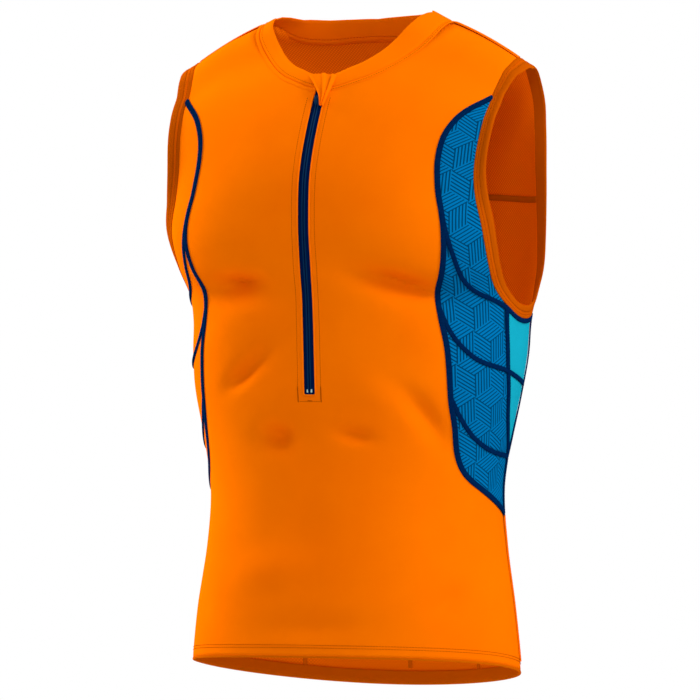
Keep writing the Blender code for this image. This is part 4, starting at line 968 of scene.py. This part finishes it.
def mesh_knit(name, light, dark, shaded_hole, pitch):
    """Mesh knit: dyed unevenly, with staggered rows of small holes painted as darker dots, painted shade
    where the cloth is open.
    """
    made = dyed_material(name, light, 0.65)
    tree = made.node_tree
    cloth = uneven_dye(made, light, dark, 8.0)
    from_hole = away(tree, staggered_cell(tree, pitch, pitch))
    radius = MESH_HOLE * pitch / MESH_PITCH
    edge = add_node(tree, "MapRange", {"Value": from_hole, "From Min": radius, "From Max": 1.5 * radius,
                    "To Min": 1.0, "To Max": 0.0})
    # The holes get the darker colour: painted shade in them, over the sunken bump.
    paint(made, mixed(tree, edge, cloth, shaded_hole))
    knit_bump(made, 0.15, maths(tree, "MULTIPLY", edge, -0.5))
    return made


# The last colour of each mesh is the painted shade of its holes.
cyan_mesh = mesh_knit("cyan mesh", "#16aac0", "#12a0b6", "#1090a8", FINE_MESH_PITCH)
orange_mesh = mesh_knit("orange mesh", "#ff8000", "#fa7800", "#e26400", MESH_PITCH)
both_sides("insert_cloth", "insert", insert_grids, (cyan_mesh, "cyan_mesh"), (orange_mesh, "orange_mesh"))

# ---------------------------------------------------------------------------------------------
# Back. Two panels of dotted mesh knit, the yoke over the shoulder blades and the lower back, joined
# under a flat tape, with a wide patch pocket low down that is open at its elastic top edge.
NECK_BACK = (
    (153.0, 0.042, 0.0165, 6.0, "ridge back"), (156.0, 0.0270, 0.0252, 10.0),
    (163.0, 0.0152, 0.0238, 16.0), (171.5, 0.0120, 0.0203, 18.0),
    (180.0, 0.0112, 0.0182, 18.0, "back centre"),
)
YOKE_AT_BACK_CENTRE = -0.149
BACK_COLUMNS = 60
POCKET_COLUMNS, POCKET_ROWS = (17, 43), (4, 32)
POCKET_OUTSIDE = 0.0013
TAPE_HALF_WIDTH = 0.003
INSIDE_TAPE_PROFILE = ((-TAPE_HALF_WIDTH, -0.0011), (-TAPE_HALF_WIDTH, -0.0016), (-0.0024, -0.0020),
                       (0.0024, -0.0020), (TAPE_HALF_WIDTH, -0.0016), (TAPE_HALF_WIDTH, -0.0011))
COVER_PROFILE = ((-0.0022, -0.0010), (-0.0022, -0.0014), (-0.0012, -0.0017), (0.0012, -0.0017),
                 (0.0022, -0.0014), (0.0022, -0.0010))
POCKET_BAND_PROFILE = ((-0.0110, 0.0012), (-0.0104, 0.0019), (-0.0060, 0.0022), (-0.0012, 0.0020),
                       (0.0000, 0.0014), (-0.0010, 0.0006), (-0.0105, 0.0005))
COVER_BAND_XS, COVER_BOTTOM, COVER_TOP = (-0.105, 0.004, 0.088), HEM_BACK + 0.016, -0.47
POCKET_STITCH, POCKET_STITCH_ASIDE = (0.0024, (0.0018, 0.0006, 0.0006)), 0.0015


def other_side(rows):
    """The same line on the wearer's right, as angles past the back centre."""
    return np.concatenate((360.0 - rows[:, :1], rows[:, 1:]), axis=1)


def across_back(edge, level_at):
    """Places from an edge at the wearer's left to its mirror at the right, at a level for each angle."""
    return at_levels(np.linspace(edge[0], 360.0 - edge[0], BACK_COLUMNS + 1), level_at)


def yoke_level(angles):
    share = abs(angles - 180.0) / (180.0 - arm_yoke_to_ridge[0, 0])
    edge_level = level_of(arm_yoke_to_ridge[0, 1])
    return YOKE_AT_BACK_CENTRE + (edge_level - YOKE_AT_BACK_CENTRE) * share ** 2


arm_insert_to_yoke = armhole.stretch("insert back", "yoke", ROWS["insert to yoke"])
arm_yoke_to_ridge = armhole.stretch("yoke", "ridge back", ROWS["yoke to ridge"])
neck_back_rows = Seam(NECK_BACK).stretch("ridge back", "back centre", BACK_COLUMNS // 2 - RIDGE_COLUMNS)
back_edge = joined(hem_to_tip, side_tip_to_3, insert_3_to_2, insert_2_to_armhole,
                   arm_insert_to_yoke[:, :2])
yoke_line = across_back(arm_yoke_to_ridge[0], yoke_level)
back_places = fill_between(across_back(hem_to_tip[0], hem_level), yoke_line, back_edge,
                           other_side(back_edge))
cloth_piece("back_lower_cloth", back_places, orange_mesh, "orange_mesh", "back_lower")
yoke_edge = arm_yoke_to_ridge[:, :2]
half_top = joined(level_line(yoke_edge[-1], neck_back_rows[0], RIDGE_COLUMNS), neck_back_rows[:, :2])
yoke_top = joined(half_top, other_side(half_top)[::-1])
yoke_places = untangled(fill_between(yoke_line, yoke_top, yoke_edge, other_side(yoke_edge)))
cloth_piece("back_yoke_cloth", yoke_places, orange_mesh, "orange_mesh", "back_yoke")

brown_band = dyed_material("brown tape", "#b45800", 0.7)
knit_bump(brown_band, 0.4)
ribbon("yoke_tape_flat", yoke_line[1:-1], INSIDE_TAPE_PROFILE, brown_band, "orange_band", "yoke_tape")
pocket_places = back_places[POCKET_ROWS[0]:POCKET_ROWS[1] + 1, POCKET_COLUMNS[0]:POCKET_COLUMNS[1] + 1]
cloth_piece("rear_pocket_cloth", pocket_places, orange_mesh, "orange_mesh", "rear_pocket",
            outside=POCKET_OUTSIDE)
ribbon("rear_pocket_band", pocket_places[-1], POCKET_BAND_PROFILE, brown_band, "orange_band")
for tag, column in (("left", 0), ("right", -1)):
    stitch_line(f"pocket_stitch_{tag}", pocket_places[:, column], POCKET_STITCH, height=POCKET_OUTSIDE,
                aside=-SIDES[tag] * POCKET_STITCH_ASIDE)
cover_thread = dyed_material("cover thread", "#c45800", 0.7)
cover_depths = depth_of(np.linspace(COVER_BOTTOM, COVER_TOP, 60))
for k, x in enumerate(COVER_BAND_XS):
    line = np.stack((angle_at_x(x, cover_depths, back=True), cover_depths), axis=1)
    ribbon(f"pocket_cover_stitch_{k}", line, COVER_PROFILE, cover_thread, "orange_band")

# ---------------------------------------------------------------------------------------------
# Flat-lock seams. The cut edges of two panels butt together under a flat band of thread that is
# zigzagged over both, raised and serrated at its edges: navy round the side panels, orange from their
# lower tips to the hem and over the shoulders.
SEAM_PROFILE = ((-0.0028, 0.0000), (-0.0028, 0.0006), (-0.0022, 0.0011), (-0.0008, 0.0012),
                (0.0008, 0.0012), (0.0022, 0.0011), (0.0028, 0.0006), (0.0028, 0.0000))
SEAM_PITCH = 0.00155
SEAM_THREAD, SEAM_THREAD_HEIGHT, SEAM_THREAD_SLANT = (0.0066, 0.0012, 0.0009), 0.0011, 0.22
UNDER_ARM_DROP = 0.0036
SMOOTHING_ROUNDS = 12
CROSS_WIDTH = 0.8
SHOULDER_STEPS = 40

navy_thread = dyed_material("navy thread", "#012048", 0.6)
uneven_dye(navy_thread, "#012854", "#00143a", 300.0)
panel_thread = dyed_material("orange seam thread", "#f06c00", 0.7)


def flat_lock(name, rows, side, material, slot, nodes=(), width=1.0):
    """A flat band along a join, with a thread over it at every step."""
    rows = at_pitch(rows, SEAM_PITCH)
    profile = [(across * width, height) for across, height in SEAM_PROFILE]
    ribbon(name, rows, profile, material, slot, *nodes, side=side)
    points, normals, ahead, aside = lines_along(rows, side)
    slant = unit(aside + ahead * SEAM_THREAD_SLANT)
    scatter(name + "_threads", (points + normals * SEAM_THREAD_HEIGHT)[1:-1], normals[1:-1],
            slant[1:-1], (SEAM_THREAD[0] * width, *SEAM_THREAD[1:]), material, slot)


def smoothed(rows):
    rows = at_pitch(rows, SEAM_PITCH)
    for _ in range(SMOOTHING_ROUNDS):
        rows[1:-1] = (rows[:-2] + 2 * rows[1:-1] + rows[2:]) / 4
    return rows


# The uppermost slanting seam ends a little below the binding
insert_top, insert_below = insert_grids["1"][-1], insert_grids["1"][-2]
insert_gap = np.linalg.norm(cloth_points(insert_top) - cloth_points(insert_below), axis=1)[:, None]
under_arm = insert_top + (insert_below - insert_top) * UNDER_ARM_DROP / insert_gap
seams = {
    "front": (joined(front_tip_to_bend, front_bend_to_3, front_3_to_2, front_2_to_1, front_1_to_armhole),
              ("seam_front_{}_1", "seam_front_{}_2")),
    "cross_1": (smoothed(np.concatenate((cross_1[:-4], under_arm))), ("seam_cross_{}_1",)),
    "cross_2": (joined(cross_2, cross_2_insert), ("seam_cross_{}_2",)),
    "cross_3": (cross_3, ("seam_cross_{}_3",)),
    "side": (joined(side_tip_to_3, side_3_to_2, side_2_to_armhole[:-1]),
             ("seam_side_{}_1", "seam_side_{}_2", "seam_side_{}_3")),
    "insert": (joined(insert_3_to_2, insert_2_to_armhole[:-1]), ("seam_insert_{}",)),
}
for tag, side in SIDES.items():
    for name, (rows, nodes) in seams.items():
        flat_lock(f"flat_lock_{name}_{tag}", rows, side, navy_thread, "navy_thread",
                  [node.format(tag) for node in nodes],
                  CROSS_WIDTH if name.startswith("cross") else 1.0)
    flat_lock(f"flat_lock_hem_{tag}", hem_to_tip[1:], side, panel_thread, "orange_thread",
              [f"seam_side_{tag}_4"])
    shoulder = level_line(neck_rows[-1], arm_ridge_to_seam[0], SHOULDER_STEPS)[2:-1]
    flat_lock(f"flat_lock_shoulder_{tag}", shoulder, side, panel_thread, "orange_thread")

# ---------------------------------------------------------------------------------------------
# Bindings. A soft elastic band folded over each armhole's raw edge and cover-stitched, so that it
# lies in two shallow channels and stands away from the body a little.
BINDING_PROFILE = ((-0.10, -0.0008), (-0.10, 0.0002), (-0.06, 0.0008), (0.02, 0.0009), (0.10, 0.0008),
                   (0.17, 0.0006), (0.20, 0.0002), (0.23, 0.0006), (0.34, 0.0008), (0.44, 0.0006),
                   (0.475, 0.0001), (0.51, 0.0006), (0.64, 0.0007), (0.80, 0.0006), (0.92, 0.0002),
                   (0.99, -0.0005), (1.00, -0.0011), (0.96, -0.0017), (0.86, -0.0020), (0.50, -0.0019),
                   (0.10, -0.0019), (-0.08, -0.0018))
BINDING_ROWS, ROW_STEP = (0.20, 0.475), 0.05
BINDING_STITCH, BINDING_STITCH_OUT = (0.0026, (0.0020, 0.0006, 0.0006)), 0.0002
# The band's middle strip as shares of its width, and that width
BINDING_STRIP, BINDING_WIDTH = (0.40, 0.62), 0.012

arm_loop = joined(arm_ridge_to_seam, arm_seam_to_side, arm_side_to_insert, arm_insert_to_yoke,
                  arm_yoke_to_ridge)[:-1]

binding_band = dyed_material("binding band", "#b44c00", 0.7)
tree = binding_band.node_tree
across = add_node(tree, "SeparateXYZ", {"Vector": flat_place(tree)}, "X")
strip = maths(tree, "MULTIPLY", maths(tree, "GREATER_THAN", across, BINDING_STRIP[0] * BINDING_WIDTH),
              maths(tree, "LESS_THAN", across, BINDING_STRIP[1] * BINDING_WIDTH))
paint(binding_band, mixed(tree, strip, "#b44c00", "#c85200"))
knit_bump(binding_band, 0.4)

for tag, side in SIDES.items():
    ribbon(f"binding_{tag}", arm_loop, BINDING_PROFILE, binding_band, "orange_band",
           f"armhole_binding_{tag}", side=side, closed=True)
    for k, share in enumerate(BINDING_ROWS):
        row = [(share, BINDING_STITCH_OUT), (share + ROW_STEP, BINDING_STITCH_OUT)]
        grid, _ = band_points(arm_loop, row, side, closed=True)
        lengths = run_lengths(grid[:, 0])
        steps = np.linspace(0.0, lengths[-1], int(lengths[-1] / BINDING_STITCH[0]))
        at, beside = [read_at(steps, lengths, line) for line in (grid[:, 0], grid[:, 1] - grid[:, 0])]
        ahead = unit(np.gradient(at, axis=0))
        up = unit(np.cross(ahead, unit(beside))) * side
        scatter(f"binding_stitch_{tag}_{k}", at, up, ahead, BINDING_STITCH[1], thread_orange,
                "orange_thread")

# ---------------------------------------------------------------------------------------------
# Collar. A low stand of doubled knit round the neck, folded at its top and open at the zip, sewn on
# with a narrow taped seam that shows as a groove with a raised strip and a row of stitches below it.
COLLAR_PROFILE = ((-0.01, -0.0010), (0.01, -0.0002), (0.05, 0.0002), (0.15, 0.0003), (0.40, 0.0001),
                  (0.70, 0.0001), (0.88, 0.0000), (0.96, -0.0003), (0.995, -0.0008), (0.99, -0.0014),
                  (0.94, -0.0018), (0.80, -0.0020), (0.40, -0.0019), (0.10, -0.0019), (-0.01, -0.0018))
STRIP_PROFILE = ((-0.0046, -0.0002), (-0.0045, 0.0003), (-0.0036, 0.0006), (-0.0018, 0.0006),
                 (-0.0008, 0.0003), (-0.0006, -0.0003), (-0.0020, -0.0006))
NECK_TAPE_PROFILE = ((-0.0074, -0.0011), (-0.0074, -0.0016), (-0.0068, -0.0020), (-0.0016, -0.0020),
                     (-0.0010, -0.0016), (-0.0010, -0.0011))
# Half the gap between the collar's ends, and how much higher it gets towards the wearer's left
COLLAR_HALF_GAP, COLLAR_TILT = 0.0072, 0.0095
NECK_STITCH, NECK_STITCH_OUT, NECK_STITCH_BELOW = (0.0026, (0.0020, 0.0005, 0.0005)), 0.0007, 0.0031

neck_half = joined(neck_rows, neck_back_rows)
neck_loop = joined(neck_half, other_side(neck_half)[::-1])
neck_loop[:, 2] += COLLAR_TILT * np.sin(np.radians(neck_loop[:, 0]))
grid, uv = band_points(neck_loop, (*COLLAR_PROFILE, COLLAR_PROFILE[0]))
grid[0, :, 0], grid[-1, :, 0] = COLLAR_HALF_GAP, -COLLAR_HALF_GAP
mesh_piece("collar_stand", grid, uv, orange, "orange_knit", ["collar"])
ribbon("neck_seam_strip", neck_loop[:, :2], STRIP_PROFILE, orange, "orange_knit")
back_neck = joined(neck_back_rows[:, :2], other_side(neck_back_rows[:, :2])[::-1])[1:-1]
for tag, line, side in (("left", neck_rows[2:-1], 1.0), ("right", neck_rows[2:-1], -1.0),
                        ("back", back_neck, 1.0)):
    stitch_line(f"neck_stitch_{tag}", line, NECK_STITCH, side, height=NECK_STITCH_OUT,
                aside=-NECK_STITCH_BELOW * side)
ribbon("neck_tape_flat", back_neck, NECK_TAPE_PROFILE, orange, "orange_band", "neck_tape")

# ---------------------------------------------------------------------------------------------
# Hem. The cloth's edge turned up 13 mm inside and held by two rows of cover stitch; the fold itself
# shows as a thin rounded edge.
HEM_PROFILE = ((0.0130, -0.0011), (0.0130, -0.0020), (0.0060, -0.0021), (0.0010, -0.0021),
               (-0.0003, -0.0018), (-0.0010, -0.0011), (-0.0009, -0.0003), (-0.0002, 0.0001),
               (0.0008, 0.0000), (0.0012, -0.0006), (0.0020, -0.0011))
HEM_STITCH_ROWS, HEM_STITCH = (0.0118, 0.0091), (0.0030, (0.0024, 0.0006, 0.0005))
HEM_STITCH_OUT = 0.0001

hem_band = dyed_material("hem facing", "#c45800", 0.7)
knit_bump(hem_band, 0.4)
hem_rows = at_levels(np.linspace(0.0, 360.0, 361), hem_level)
ribbon("hem_fold", hem_rows[:-1], HEM_PROFILE, hem_band, "orange_band", "hem_turnup", closed=True)
for k, above in enumerate(HEM_STITCH_ROWS):
    stitch_line(f"hem_stitch_{k}", hem_rows, HEM_STITCH, height=HEM_STITCH_OUT, aside=above)
